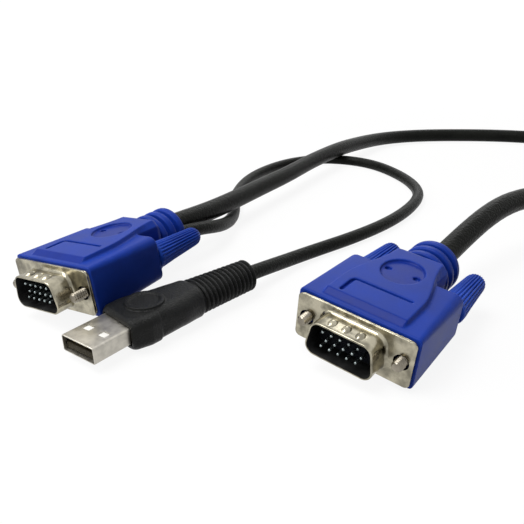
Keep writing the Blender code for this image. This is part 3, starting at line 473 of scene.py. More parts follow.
def combine(obj, other, operation):
    """Joins or cuts one solid with another, which is used up."""
    modify(obj, "BOOLEAN", object=other, operation=operation, solver="EXACT")
    bpy.data.objects.remove(other)


def apply_place(obj):
    """Leaves the object at the origin, with its place, turn and size in its mesh."""
    pick(obj)
    bpy.ops.object.transform_apply(location=True, rotation=True, scale=True)


def upright_cylinder(diameter, depth, place, sides=48):
    """Round cutter or pad that stands upright."""
    bpy.ops.mesh.primitive_cylinder_add(vertices=sides, radius=diameter / 2, depth=depth, location=place)
    return bpy.context.object


def bore(diameter, x_1, x_2, y):
    """Cutter along a thumbscrew's axis."""
    bpy.ops.mesh.primitive_cylinder_add(vertices=40, radius=diameter / 2, depth=abs(x_2 - x_1),
                                        location=((x_1 + x_2) / 2, y, 0), rotation=(0, math.pi / 2, 0))
    cutter = bpy.context.object
    apply_place(cutter)
    return cutter


def quarter_turn(steps):
    """Angles of a rounded corner, in even steps."""
    return [math.radians(90 * i / steps) for i in range(steps + 1)]


def rounded_outline(half_width, half_height, corner, inset=0.0, middle=0.0, arc_steps=7):
    """Box outline in Y and Z with round corners, drawn in by an even amount."""
    y, z, radius = half_width - corner, half_height - corner, corner - inset
    points = []
    for side, level, start in ((1, -1, -90), (1, 1, 0), (-1, 1, 90), (-1, -1, 180)):
        for turn in quarter_turn(arc_steps):
            turn += math.radians(start)
            points.append((side * y + radius * math.cos(turn), middle + level * z + radius * math.sin(turn)))
    return points


def ring_outline(radius, sides):
    """Round outline in Y and Z."""
    turns = [2 * math.pi * i / sides for i in range(sides)]
    return [(radius * math.cos(turn), radius * math.sin(turn)) for turn in turns]


def turned(name, profile, sides=64):
    """Solid of revolution round X through (x, radius) points, closed at both ends."""
    return loft(name, [(x, ring_outline(radius, sides)) for x, radius in profile])


def deck_outline(half_width, top, wall):
    """Raised part's section: its walls spread down to the neck's width."""
    wide = max(half_width + DECK_WALL, NECK_WIDTH / 2)
    right = [(half_width, -top), (wide, wall - top), (wide, top - wall), (half_width, top)]
    return right + [(-y, z) for y, z in reversed(right)]


def deck_sections():
    """Ramp up from the front face, a straight stretch, then a smooth taper to the neck."""
    top = HOOD_HEIGHT / 2
    raised = top + DECK_RISE
    wide, narrow = DECK_FRONT_WIDTH / 2, DECK_REAR_WIDTH / 2
    taper_end = DECK_LENGTH - 2 * DECK_REAR_ROUNDING
    sections = [(HOOD_FRONT - GAP, deck_outline(wide, top - GAP, DECK_WALL_HEIGHT)),
                (HOOD_FRONT - DECK_RAMP, deck_outline(wide, raised, DECK_WALL_HEIGHT)),
                (HOOD_FRONT - DECK_TAPER_START, deck_outline(wide, raised, DECK_WALL_HEIGHT))]
    steps = 12
    for i in range(1, steps + 1):
        share = i / steps
        ease = s_curve(share)
        x = HOOD_FRONT - DECK_TAPER_START - (taper_end - DECK_TAPER_START) * share
        wall = DECK_WALL_HEIGHT * (1 + DECK_WALL_GROWTH * ease)
        sections.append((x, deck_outline(wide + (narrow - wide) * ease, raised, wall)))
    end = deck_outline(narrow - DECK_REAR_ROUNDING, raised - DECK_REAR_ROUNDING, wall)
    limit = NECK_WIDTH / 2 - DECK_REAR_ROUNDING
    end = [(math.copysign(min(abs(y), limit), y), z) for y, z in end]
    return sections + [(HOOD_FRONT - DECK_LENGTH, end)]


def boot_profile():
    """Rings with round edges, from the rear face forward to inside the hood."""
    outer, core, edge = BOOT_DIAMETER / 2, BOOT_CORE_DIAMETER / 2, BOOT_ROUNDING
    profile = [(BOOT_END, outer - 2.2 * edge)]
    for ring in range(BOOT_RINGS):
        rear = BOOT_END + ring * BOOT_RING_PITCH
        front = rear + BOOT_RING_PITCH - BOOT_GROOVE
        start = outer - edge if ring == 0 else core
        profile += [(rear + 0.15 * edge, start), (rear + 0.5 * edge, outer - 0.25 * edge),
                    (rear + 1.2 * edge, outer), (front - 0.8 * edge, outer),
                    (front - 0.2 * edge, outer - 0.4 * edge), (front, core)]
    return profile + [(HOOD_FRONT - DECK_LENGTH + 2 * DECK_REAR_ROUNDING, core)]


def groove_cutter():
    """Corner-shaped slot: a bent strip of even width with a rounded corner."""
    front = HOOD_FRONT - PANEL_FROM_FRONT
    back = front - PANEL_DEPTH
    line = [(front, PANEL_LEFT)]
    for turn in quarter_turn(6):
        x = back + PANEL_CORNER * (1 - math.sin(turn))
        line.append((x, PANEL_LEFT + PANEL_CORNER * (1 - math.cos(turn))))
    line.append((back, PANEL_RIGHT))
    curve = bpy.data.curves.new("groove", "CURVE")
    curve.dimensions = "2D"
    spline = curve.splines.new("POLY")
    spline.points.add(len(line) - 1)
    for point, (x, y) in zip(spline.points, line):
        point.co = (x, y, 0, 1)
    curve.extrude = GROOVE_DEPTH
    guide = bpy.data.objects.new("groove", curve)
    bpy.context.scene.collection.objects.link(guide)
    pick(guide)
    bpy.ops.object.convert(target="MESH")
    guide = bpy.context.object
    modify(guide, "SOLIDIFY", thickness=GROOVE_WIDTH, offset=0.0, use_even_offset=True)
    guide.location.z = HOOD_HEIGHT / 2 + DECK_RISE
    apply_place(guide)
    return guide


def finish_model(model, finish, degrees=None):
    """One finish all over and, where an angle is given, smooth shading between sharper edges."""
    model.data.materials.clear()
    model.data.materials.append(finish)
    if degrees:
        pick(model)
        bpy.ops.object.shade_smooth_by_angle(angle=math.radians(degrees))


def hood_model():
    """Ears, deck and boot as one body with its cuts, rounded all over; the recess and the front ramp get a
    smoother finish whose darker blue is painted shade.
    """
    top = HOOD_HEIGHT / 2
    rear = rounded_outline(HOOD_WIDTH / 2, top - EAR_REAR_DROP, EAR_REAR_ROUNDING)
    front = rounded_outline(HOOD_WIDTH / 2, top, HOOD_CORNER)
    hood = loft("hood_model", [(EAR_BACK, rear), (HOOD_FRONT + HOOD_LIP, front)])
    combine(hood, loft("deck", deck_sections()), "UNION")
    combine(hood, turned("boot", boot_profile()), "UNION")
    combine(hood, groove_cutter(), "DIFFERENCE")
    deck_top = top + DECK_RISE
    recess_x = HOOD_FRONT - RECESS_FROM_FRONT
    recess = upright_cylinder(RECESS_LENGTH, 2 * RECESS_DEPTH, (recess_x, 0, deck_top), sides=64)
    recess.scale.y = RECESS_WIDTH / RECESS_LENGTH
    combine(hood, recess, "DIFFERENCE")
    for side in (-1, 1):
        dot = upright_cylinder(DOT_DIAMETER, 2 * DOT_DEPTH, (recess_x, side * DOT_SPACING / 2, deck_top))
        combine(hood, dot, "DIFFERENCE")
        hole = bore(SCREW_BORE, HOOD_FRONT + HOOD_LIP + GAP, EAR_BACK - GAP, side * SCREW_SPACING / 2)
        combine(hood, hole, "DIFFERENCE")
    modify(hood, "REMESH", mode="VOXEL", voxel_size=HOOD_VOXEL, use_smooth_shade=True)
    modify(hood, "SMOOTH", factor=0.5, iterations=2)
    finish_model(hood, moulded_plastic("blue_hood_plastic", HOOD_BLUE, roughness=0.42))
    # The recess and the front ramp get a smoother finish in a darker blue, which is painted shade.
    hood.data.materials.append(moulded_plastic("blue_smooth_painted_shade_plastic", RECESS_RAMP_PAINTED_SHADE_BLUE, roughness=0.38))
    for face in hood.data.polygons:
        x, y, z = face.center
        along, across = (x - recess_x) / (RECESS_LENGTH / 2), y / (RECESS_WIDTH / 2)
        in_recess = along * along + across * across < 1 and z > top
        on_ramp = x > HOOD_FRONT - DECK_RAMP and z > top and abs(y) < DECK_FRONT_WIDTH / 2
        face.material_index = 1 if in_recess or on_ramp else 0
    return hood


def moulded_plastic(name, colour, roughness):
    """Plastic from a spark-eroded mould: fine pits, satin, a little paler where it is rubbed."""
    return clouded_finish(name, colour, ((0.35, 0.88), (0.7, 1.12)), (roughness - 0.06, roughness + 0.08),
                          cloud=(120, 5), grain=(3500, 2), relief=(0.2, 0.00008), specular=0.11)


def move_to(piece, plug, body, node):
    """Moves a finished piece to its plug, with the object itself left at the origin."""
    piece.data.transform(plug)
    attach(piece, body)
    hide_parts(node)


def place_copy(model, name, plug, body, node):
    """Stands a copy of a modelled piece, with a mesh of its own, on its plug."""
    piece = bpy.data.objects.new(name, model.data.copy())
    bpy.context.scene.collection.objects.link(piece)
    move_to(piece, plug, body, node)


hood_pattern = hood_model()
for side, plug in DISPLAY_PLUGS.items():
    place_copy(hood_pattern, f"{side}_hood_moulding", plug, "cable", f"{side}_plug_hood")
bpy.data.objects.remove(hood_pattern)

# Metal fronts. Nickel-plated sheet: the front one is a flange with a D-shaped shroud drawn out of
# it, with a fillet at the foot, a rolled lip and three grounding dimples above and below. A plain
# second plate closes it from behind.
FLANGE_WIDTH = 30.81 * MM
FLANGE_HEIGHT = 12.55 * MM
FLANGE_THICKNESS = 0.5 * MM
FLANGE_CORNER = 1.4 * MM
SHEET_EDGE = 0.09 * MM
REAR_SHELL_INSET = 0.25 * MM
REAR_SHELL_THICKNESS = 0.5 * MM
SHROUD_LENGTH = 5.9 * MM
SHROUD_WIDTH = 17.7 * MM
SHROUD_HEIGHT = 9.16 * MM
SHROUD_CORNER = 2.6 * MM
SHROUD_SLANT = 10
SHROUD_WALL = 0.4 * MM
SHROUD_FILLET = 0.9 * MM
DIMPLE_SPACING = 3.6 * MM
DIMPLE_RADIUS = 1.25 * MM
DIMPLE_LENGTH = 3.8 * MM
DIMPLE_HEIGHT = 0.65 * MM
NICKEL_COLOUR = (0.365, 0.338, 0.26)
# Near-black for the shroud's inner walls: painted shade.
INSIDE_PAINTED_SHADE_COLOUR = (0.05, 0.05, 0.05)


def shroud_outline(grow=0.0, arc_points=12):
    """The D of the shroud, wide side down, grown outwards by an even amount."""
    corner = SHROUD_CORNER + grow
    top = SHROUD_HEIGHT / 2 - SHROUD_CORNER
    low_y = SHROUD_WIDTH / 2 - SHROUD_CORNER
    high_y = low_y - 2 * top * math.tan(math.radians(SHROUD_SLANT))
    arcs = [(low_y, -top, -90, SHROUD_SLANT), (high_y, top, SHROUD_SLANT, 90),
            (-high_y, top, 90, 180 - SHROUD_SLANT), (-low_y, -top, 180 - SHROUD_SLANT, 270)]
    points = []
    for y, z, start, end in arcs:
        for i in range(arc_points):
            turn = math.radians(start + (end - start) * i / (arc_points - 1))
            points.append((y + corner * math.cos(turn), z + corner * math.sin(turn)))
    return points


def sheet_plate(name, inset, front, thickness):
    """Flat plate with round corners, rubbed edges and the two thumbscrew holes."""
    half, tall = FLANGE_WIDTH / 2 - inset, FLANGE_HEIGHT / 2 - inset
    full = rounded_outline(half, tall, FLANGE_CORNER)
    small = rounded_outline(half, tall, FLANGE_CORNER, inset=SHEET_EDGE)
    back = front - thickness
    plate = loft(name, [(back, small), (back + SHEET_EDGE, full), (front - SHEET_EDGE, full), (front, small)])
    for side in (-1, 1):
        hole = bore(SCREW_BORE, front + GAP, back - GAP, side * SCREW_SPACING / 2)
        combine(plate, hole, "DIFFERENCE")
    return plate


def front_shell_model():
    """Flange and shroud as one sheet; inside, the shroud's walls get a near-black, rough metal, which is
    painted shade.
    """
    shell = sheet_plate("front_shell_model", 0, 0, FLANGE_THICKNESS)
    sections = [(-FLANGE_THICKNESS / 2, shroud_outline(SHROUD_FILLET))]
    for turn in quarter_turn(8):
        outline = shroud_outline(SHROUD_FILLET * (1 - math.sin(turn)))
        sections.append((SHROUD_FILLET * (1 - math.cos(turn)), outline))
    lip = SHROUD_WALL / 2
    for turn in quarter_turn(4):
        outline = shroud_outline(lip * math.cos(turn) - lip)
        sections.append((SHROUD_LENGTH - lip + lip * math.sin(turn), outline))
    combine(shell, loft("shroud", sections), "UNION")
    for i in (-1, 0, 1):
        for level in (-1, 1):
            place = ((SHROUD_LENGTH + SHROUD_FILLET) / 2, i * DIMPLE_SPACING,
                     level * (SHROUD_HEIGHT / 2 - DIMPLE_HEIGHT))
            bpy.ops.mesh.primitive_uv_sphere_add(segments=24, ring_count=16, radius=DIMPLE_RADIUS,
                                                 location=place)
            dimple = bpy.context.object
            dimple.scale = (DIMPLE_LENGTH / 2 / DIMPLE_RADIUS, 1, 2 * DIMPLE_HEIGHT / DIMPLE_RADIUS)
            apply_place(dimple)
            combine(shell, dimple, "UNION")
    hollow = shroud_outline(-SHROUD_WALL)
    past = 1.0 * MM
    cutter = loft("hollow", [(-FLANGE_THICKNESS - past, hollow), (SHROUD_LENGTH + past, hollow)])
    combine(shell, cutter, "DIFFERENCE")
    finish_model(shell, nickel, degrees=32)
    shell.data.materials.append(inside_painted_shade)
    for face in shell.data.polygons:
        _, y, z = face.center
        inwards = face.normal.y * y + face.normal.z * z < 0 and abs(face.normal.x) < 0.3
        if inwards and 0 < face.center.x < SHROUD_LENGTH and abs(y) < SHROUD_WIDTH / 2:
            face.material_index = 1
    return shell


def plated_metal(name, colour, roughness, cloud_size=260, darkest=0.6, brightest=1.2237):
    """Plated sheet: rolled along one way, cloudy where fingers and tools have been; where the clouds are
    strong, as on the nickel, they are painted reflection as well.
    """
    return clouded_finish(name, colour, ((0.36, darkest), (0.62, brightest)),
                          (roughness - 0.08, roughness + 0.14), cloud=(cloud_size, 4), grain=(1500, 2),
                          relief=(0.12, 0.00005), stretch=(1, 1, 0.12), metallic=1.0)


# Nickel: its strong dark and bright clouds are partly painted reflection, random patches that stand in for
# dark reflections and bright highlights.
nickel = plated_metal("nickel_plate_and_painted_reflection", NICKEL_COLOUR, roughness=0.17, cloud_size=300, darkest=0.52,
                      brightest=1.2652)
# Near-black, rough metal for the shroud's inner walls: painted shade.
inside_painted_shade = plated_metal("inside_painted_shade_plate", INSIDE_PAINTED_SHADE_COLOUR, roughness=0.5)
shell_pattern = front_shell_model()
plate_pattern = sheet_plate("rear_shell_model", REAR_SHELL_INSET, -FLANGE_THICKNESS - GAP,
                            REAR_SHELL_THICKNESS)
finish_model(plate_pattern, nickel, degrees=32)
for side, plug in DISPLAY_PLUGS.items():
    place_copy(shell_pattern, f"{side}_front_metal", plug, "cable", f"{side}_plug_front_shell")
    place_copy(plate_pattern, f"{side}_rear_metal", plug, "cable", f"{side}_plug_rear_shell")
bpy.data.objects.remove(shell_pattern)
bpy.data.objects.remove(plate_pattern)

# Insulators and pins. A black block fills each shroud's foot, and fifteen bright pins with
# round tips stand out of it in three rows, the middle row shifted by half a pitch.
INSULATOR_FRONT = 1.0 * MM
PIN_DIAMETER = 0.76 * MM
PIN_REACH = 5.0 * MM
PIN_PITCH = 2.29 * MM
PIN_ROW_PITCH = 1.98 * MM
PIN_BASE = 0.88 * MM
FUNNEL_DIAMETER = 1.25 * MM
FUNNEL_DEPTH = 0.3 * MM
FUNNEL_SINK = 0.05 * MM
INSULATOR_BLACK = (0.004, 0.005, 0.008)
PIN_COLOUR = (0.27, 0.31, 0.31)


def insulator_model():
    """Block with a rubbed front edge and a shallow funnel round each pin."""
    full = shroud_outline(-SHROUD_WALL - GAP)
    small = shroud_outline(-SHROUD_WALL - GAP - 2 * SHEET_EDGE)
    block = loft("insulator_model", [(-FLANGE_THICKNESS, full), (INSULATOR_FRONT - 2 * SHEET_EDGE, full),
                                     (INSULATOR_FRONT, small)])
    for y, z in pin_places():
        bpy.ops.mesh.primitive_cone_add(vertices=20, radius1=PIN_DIAMETER / 2, radius2=FUNNEL_DIAMETER / 2,
                                        depth=FUNNEL_DEPTH, location=(INSULATOR_FRONT - FUNNEL_SINK, y, z),
                                        rotation=(0, math.pi / 2, 0))
        funnel = bpy.context.object
        apply_place(funnel)
        combine(block, funnel, "DIFFERENCE")
    return block


def pin_places():
    """Five places in each of three rows, from the top row down."""
    places = []
    for row in range(3):
        shift = PIN_PITCH / 4 * (1 if row % 2 else -1)
        for column in range(5):
            places.append(((column - 2) * PIN_PITCH + shift, (1 - row) * PIN_ROW_PITCH))
    return places


def pin_model():
    """Round pin with a rounded tip."""
    radius = PIN_DIAMETER / 2
    profile = [(PIN_BASE, radius), (PIN_REACH - radius, radius)]
    for degrees in (20, 40, 60, 78):
        turn = math.radians(degrees)
        profile.append((PIN_REACH - radius + radius * math.sin(turn), radius * math.cos(turn)))
    return turned("pin_model", profile, sides=20)


insulator_pattern = insulator_model()
insulator_finish = black_plastic("insulator_plastic", INSULATOR_BLACK, roughness=0.5, grain=3000)
finish_model(insulator_pattern, insulator_finish, degrees=32)
pin_pattern = pin_model()
finish_model(pin_pattern, plated_metal("bright_pin_metal", PIN_COLOUR, roughness=0.3), degrees=40)
for side, plug in DISPLAY_PLUGS.items():
    place_copy(insulator_pattern, f"{side}_insulator_block", plug, "cable",
               f"{side}_plug_insulator")
    for number, (y, z) in enumerate(pin_places(), 1):
        place_copy(pin_pattern, f"{side}_bright_pin_{number:02d}", plug @ Matrix.Translation((0, y, z)),
                   "cable", f"{side}_plug_pin_{number:02d}")
bpy.data.objects.remove(insulator_pattern)
bpy.data.objects.remove(pin_pattern)

# Thumbscrews. A blue ribbed grip with a domed, slotted end is moulded on a steel shank, which
# runs through the ear and shows its thread in front of the flange.
GRIP_LENGTH = 19.8 * MM
GRIP_ROOT_DIAMETER = 7.8 * MM
GRIP_END_DIAMETER = 5.8 * MM
GRIP_DOME_LENGTH = 3.0 * MM
GRIP_ROOT_ROUNDING = 0.5 * MM
GRIP_RIDGES = 24
GRIP_RIDGE_DEPTH = 0.42 * MM
GRIP_BLUE = (0.011, 0.055, 0.38)
SLOT_WIDTH = 1.1 * MM
SLOT_DEPTH = 1.4 * MM
SLOT_EDGE = 0.12 * MM
SHANK_DIAMETER = 2.84 * MM
SHANK_REACH = 3.6 * MM
SHANK_CHAMFER = 0.5 * MM
CHAMFER_SLOPE = 0.8
STEEL_COLOUR = (0.26, 0.235, 0.19)
THREAD_PITCH = 0.635 * MM
THREAD_DEPTH = 0.38 * MM
THREAD_LENGTH = 5.6 * MM
THREAD_STEPS = 8
SCREW_SETBACKS = {"left": 0.0, "right": 1.2 * MM}


def grip_outline(radius, depth):
    """Round outline with soft ridges."""
    points = []
    for i in range(6 * GRIP_RIDGES):
        turn = math.pi * i / (3 * GRIP_RIDGES)
        reach = radius - depth * (0.5 - 0.5 * math.cos(GRIP_RIDGES * turn)) ** 1.5
        points.append((reach * math.cos(turn), reach * math.sin(turn)))
    return points


def box(name, size, middle):
    """Box by its size and middle, as a blank or a cutter."""
    bpy.ops.mesh.primitive_cube_add(size=1, location=middle)
    obj = bpy.context.object
    obj.name = name
    obj.scale = size
    apply_place(obj)
    return obj


def grip_model():
    """Ridged knob: a rounded root, ridges that fade in, a straight taper and a slotted dome."""
    root, end, rounding = GRIP_ROOT_DIAMETER / 2, GRIP_END_DIAMETER / 2, GRIP_ROOT_ROUNDING
    straight = GRIP_LENGTH - GRIP_DOME_LENGTH
    stations = [(rounding * back, root - rounding * inset, ridged)
                for back, inset, ridged in ((0, 1, 0), (0.3, 0.3, 0), (1, 0, 0), (2.5, 0, 0.4), (4, 0, 1))]
    stations += [(straight * share, root + (end - root) * share, 1) for share in (0.4, 0.7, 1.0)]
    for degrees, ridged in ((15, 0.9), (30, 0.6), (45, 0.3), (58, 0), (70, 0), (82, 0)):
        turn = math.radians(degrees)
        stations.append((straight + GRIP_DOME_LENGTH * math.sin(turn), end * math.cos(turn), ridged))
    sections = [(EAR_BACK - GAP - back, grip_outline(radius, GRIP_RIDGE_DEPTH * ridged))
                for back, radius, ridged in stations]
    grip = loft("grip_model", sections)
    slot = box("slot", (2 * SLOT_DEPTH, SLOT_WIDTH, GRIP_ROOT_DIAMETER), (EAR_BACK - GAP - GRIP_LENGTH, 0, 0))
    combine(grip, slot, "DIFFERENCE")
    modify(grip, "BEVEL", width=SLOT_EDGE, segments=2, limit_method="ANGLE", angle_limit=math.radians(55))
    return grip


def shank_model():
    """Steel rod whose front end carries a helical thread and a chamfer."""
    sides, radius = 36, SHANK_DIAMETER / 2
    start = SHANK_REACH - THREAD_LENGTH
    sections = [(EAR_BACK, ring_outline(radius, sides)), (start - THREAD_PITCH, ring_outline(radius, sides))]
    steps = round(THREAD_LENGTH / THREAD_PITCH * THREAD_STEPS)
    for i in range(steps + 1):
        x = start + THREAD_LENGTH * i / steps
        chamfer = max(0.0, (x - SHANK_REACH + SHANK_CHAMFER) * CHAMFER_SLOPE)
        outline = []
        for k in range(sides):
            turn = 2 * math.pi * k / sides
            phase = (x / THREAD_PITCH - k / sides) % 1.0
            depth = THREAD_DEPTH * abs(2 * phase - 1) * min(1.0, (x - start) / THREAD_PITCH)
            reach = min(radius - depth, radius - chamfer)
            outline.append((reach * math.cos(turn), reach * math.sin(turn)))
        sections.append((x, outline))
    return loft("shank_model", sections)


grip_pattern = grip_model()
finish_model(grip_pattern, moulded_plastic("blue_grip_plastic", GRIP_BLUE, roughness=0.42), degrees=40)
shank_pattern = shank_model()
finish_model(shank_pattern, plated_metal("screw_steel", STEEL_COLOUR, roughness=0.25), degrees=50)
for side, plug in DISPLAY_PLUGS.items():
    for place, sign in (("far", -1), ("near", 1)):
        axis = plug @ Matrix.Translation((-SCREW_SETBACKS[side], sign * SCREW_SPACING / 2, 0))
        body, screw = f"{side}_{place}_thumbscrew", f"{side}_plug_{place}_screw"
        place_copy(grip_pattern, f"{side}_{place}_grip", axis, body, f"{screw}_grip")
        place_copy(shank_pattern, f"{side}_{place}_shank", axis, body, f"{screw}_shank")
bpy.data.objects.remove(grip_pattern)
bpy.data.objects.remove(shank_pattern)

# USB shell and tongue. The shell is one folded strip of tinned sheet with four latch windows and
# its seam below; a black plastic tongue fills its lower half and carries the contacts.
USB_WIDTH = 12.0 * MM
USB_HEIGHT = 4.5 * MM
USB_WALL = 0.3 * MM
USB_CORNER = 0.6 * MM
USB_EDGE = 0.08 * MM
USB_SEATED = 2.6 * MM
WINDOW_FROM_MOUTH = 5.8 * MM
WINDOW_SPACING = 5.8 * MM
WINDOW_WIDTH = 2.5 * MM
WINDOW_LENGTH = 2.0 * MM
WINDOW_CORNER = 0.2 * MM
SEAM_WIDTH = 0.12 * MM
SEAM_DEPTH = 0.09 * MM
TONGUE_SETBACK = 0.8 * MM
TONGUE_HEIGHT = 1.7 * MM
TONGUE_CORNER = 0.25 * MM
TONGUE_EDGE = 0.15 * MM
TONGUE_FRONT_CORNER = 0.2 * MM
TIN_COLOUR = (0.5, 0.475, 0.42)
TONGUE_BLACK = (0.03, 0.025, 0.014)


def usb_shell_model():
    """Tube of sheet with rubbed edges, four windows and a seam along its underside."""
    half, tall, length = USB_WIDTH / 2, USB_HEIGHT / 2, USB_EXPOSED + USB_SEATED
    full = rounded_outline(half, tall, USB_CORNER)
    small = rounded_outline(half, tall, USB_CORNER, inset=USB_EDGE)
    inner = rounded_outline(half, tall, USB_CORNER, inset=USB_WALL)
    shell = loft("usb_shell_metal", [(-length, small), (USB_EDGE - length, full), (-USB_EDGE, full),
                                     (0, small)])
    combine(shell, loft("hollow", [(-length - GAP, inner), (GAP, inner)]), "DIFFERENCE")
    for side in (-1, 1):
        window = box("window", (WINDOW_LENGTH, WINDOW_WIDTH, 2 * USB_HEIGHT),
                     (-WINDOW_FROM_MOUTH, side * WINDOW_SPACING / 2, 0))
        modify(window, "BEVEL", width=WINDOW_CORNER, segments=3, limit_method="ANGLE")
        combine(shell, window, "DIFFERENCE")
    seam = box("seam", (2 * length, SEAM_WIDTH, SEAM_DEPTH), (-length / 2, 0, -tall))
    combine(shell, seam, "DIFFERENCE")
    return shell


def tongue_model():
    """Tongue with a blunt front edge, clear of the shell all round."""
    half, tall = USB_WIDTH / 2 - USB_WALL - GAP, TONGUE_HEIGHT / 2
    middle = -USB_HEIGHT / 2 + USB_WALL + GAP + tall
    full = rounded_outline(half, tall, TONGUE_CORNER, middle=middle, arc_steps=3)
    small = rounded_outline(half - TONGUE_EDGE, tall - TONGUE_EDGE, TONGUE_FRONT_CORNER,
                            middle=middle, arc_steps=3)
    back = -USB_EXPOSED - USB_SEATED + GAP
    return loft("usb_tongue_insert", [(back, full), (-TONGUE_SETBACK - TONGUE_EDGE, full),
                                      (-TONGUE_SETBACK, small)])


usb_metal = usb_shell_model()
tin = plated_metal("tinned_steel_sheet", TIN_COLOUR, roughness=0.36, cloud_size=500, darkest=0.86,
                   brightest=1.0818)
finish_model(usb_metal, tin, degrees=35)
move_to(usb_metal, USB_PLUG, "cable", "usb_shell")
tongue = tongue_model()
finish_model(tongue, black_plastic("tongue_plastic", TONGUE_BLACK, roughness=0.4, grain=3000), degrees=32)
move_to(tongue, USB_PLUG, "cable", "usb_tongue")

# USB lugs. Two white plastic lugs, as of a core that snaps into the shell, fill the upper latch windows a
# little below the sheet's face; their white is painted highlight, standing in for bright glints in the
# windows.
LUG_HEIGHT = 0.7 * MM
LUG_CLEARANCE = 0.04 * MM
LUG_SINK = 0.12 * MM
LUG_EDGE = 0.15 * MM
# White of the lugs: painted highlight in the latch windows.
LUG_HIGHLIGHT_WHITE = (0.85, 0.84, 0.8)
lug_highlight_plastic = moulded_plastic("white_lug_highlight_plastic", LUG_HIGHLIGHT_WHITE, roughness=0.45)
lug_size = (WINDOW_LENGTH - 2 * LUG_CLEARANCE, WINDOW_WIDTH - 2 * LUG_CLEARANCE, LUG_HEIGHT)
for side, name in ((-1, "far"), (1, "near")):
    lug = box(f"usb_{name}_white_lug", lug_size, (-WINDOW_FROM_MOUTH, side * WINDOW_SPACING / 2,
                                                  USB_HEIGHT / 2 - LUG_SINK - LUG_HEIGHT / 2))
    modify(lug, "BEVEL", width=LUG_EDGE, segments=3)
    finish_model(lug, lug_highlight_plastic, degrees=40)
    lug.data.transform(USB_PLUG)
    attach(lug, "cable")

# USB contacts. Four gold-plated springs lie side by side on the tongue, a little back from its
# front edge, with their edges rounded by the stamping.
CONTACT_WIDTH = 1.0 * MM
CONTACT_LENGTH = 7.4 * MM
CONTACT_THICKNESS = 0.2 * MM
CONTACT_SPACING = 2.3 * MM
CONTACT_SETBACK = 0.6 * MM
CONTACT_EDGE = 0.06 * MM
CONTACT_GOLD = (0.8, 0.6, 0.25)
gold = plated_metal("gold_contact", CONTACT_GOLD, roughness=0.22)
contact_x = -TONGUE_SETBACK - CONTACT_SETBACK - CONTACT_LENGTH / 2
contact_z = -USB_HEIGHT / 2 + USB_WALL + 2 * GAP + TONGUE_HEIGHT + CONTACT_THICKNESS / 2
for i in range(4):
    strip = box(f"usb_contact_strip_{i + 1}", (CONTACT_LENGTH, CONTACT_WIDTH, CONTACT_THICKNESS),
                (contact_x, (i - 1.5) * CONTACT_SPACING, contact_z))
    modify(strip, "BEVEL", width=CONTACT_EDGE, segments=2)
    finish_model(strip, gold, degrees=40)
    move_to(strip, USB_PLUG, "cable", f"usb_contact_{i + 1}")

# USB overmould. Black PVC moulded round the shell and the lead in one shot: a grip block, a
# shoulder that narrows, a round pad with a rim, and a strain relief of thirteen rings.
GRIP_BLOCK_FRONT_WIDTH = 15.6 * MM
GRIP_BLOCK_REAR_WIDTH = 17.2 * MM
GRIP_BLOCK_LENGTH = 8.6 * MM
GRIP_BLOCK_HEIGHT = 8.5 * MM
GRIP_BLOCK_CORNER = 2.6 * MM
GRIP_BLOCK_STEP = 0.6 * MM
GRIP_BLOCK_WIDEST_AT = 0.6
SHOULDER_WIDTH = 15.2 * MM
SHOULDER_LENGTH = 15.2 * MM
SHOULDER_STRAIGHT_SHARE = 0.45
SHOULDER_CORNER = 1.5 * GRIP_BLOCK_CORNER
PAD_DIAMETER = 10.4 * MM
PAD_RISE = 0.75 * MM
PAD_RIM = 1.2 * MM
PAD_FROM_FRONT = 8.7 * MM
SLEEVE_LENGTH = -SLEEVE_END - GRIP_BLOCK_LENGTH - SHOULDER_LENGTH
SLEEVE_ROOT_WIDTH = 13.2 * MM
SLEEVE_ROOT_HEIGHT = 9.6 * MM
SLEEVE_ROOT_ROUNDNESS = 0.85
SLEEVE_END_DIAMETER = 9.6 * MM
SLEEVE_RINGS = 13
SLEEVE_GROOVE_DEPTH = 1.2 * MM
OVERMOULD_VOXEL = 0.205 * MM
OVERMOULD_BLACK = (0.0048, 0.0052, 0.005)


def body_sections():
    """Grip block with a rounded nose and stepped sides, then the shoulder that eases to the sleeve."""
    tall, corner, step = GRIP_BLOCK_HEIGHT / 2, GRIP_BLOCK_CORNER, GRIP_BLOCK_STEP
    root_half, root_tall = SLEEVE_ROOT_WIDTH / 2, SLEEVE_ROOT_HEIGHT / 2
    front_half, rear_half = GRIP_BLOCK_FRONT_WIDTH / 2, GRIP_BLOCK_REAR_WIDTH / 2
    shoulder_half, end = SHOULDER_WIDTH / 2, GRIP_BLOCK_LENGTH + SHOULDER_LENGTH
    stations = [(step * back, front_half - step * inset, tall - step * lower, corner)
                for back, inset, lower in ((0, 2.4, 2), (0.4, 1, 0.9), (1.2, 0.3, 0.25), (2.4, -0.2, 0))]
    flare = GRIP_BLOCK_LENGTH + SHOULDER_STRAIGHT_SHARE * SHOULDER_LENGTH
    stations += [(GRIP_BLOCK_WIDEST_AT * GRIP_BLOCK_LENGTH, rear_half, tall, corner),
                 (GRIP_BLOCK_LENGTH - step, rear_half - step / 2, tall, corner),
                 (GRIP_BLOCK_LENGTH, shoulder_half, tall, corner),
                 (flare, shoulder_half, tall, SHOULDER_CORNER)]
    last, last_tall, last_corner = end - 2 * step, root_tall - step / 2, SLEEVE_ROOT_ROUNDNESS * root_tall
    steps = 8
    for i in range(1, steps + 1):
        share = i / steps
        ease = s_curve(share)
        stations.append((flare + (last - flare) * share, shoulder_half + (root_half - shoulder_half) * ease,
                         tall + (last_tall - tall) * ease,
                         SHOULDER_CORNER + (last_corner - SHOULDER_CORNER) * ease))
    stations.append((end, root_half - step, root_tall - step, last_corner))
    return [(-x, rounded_outline(half, high, radius)) for x, half, high, radius in stations]


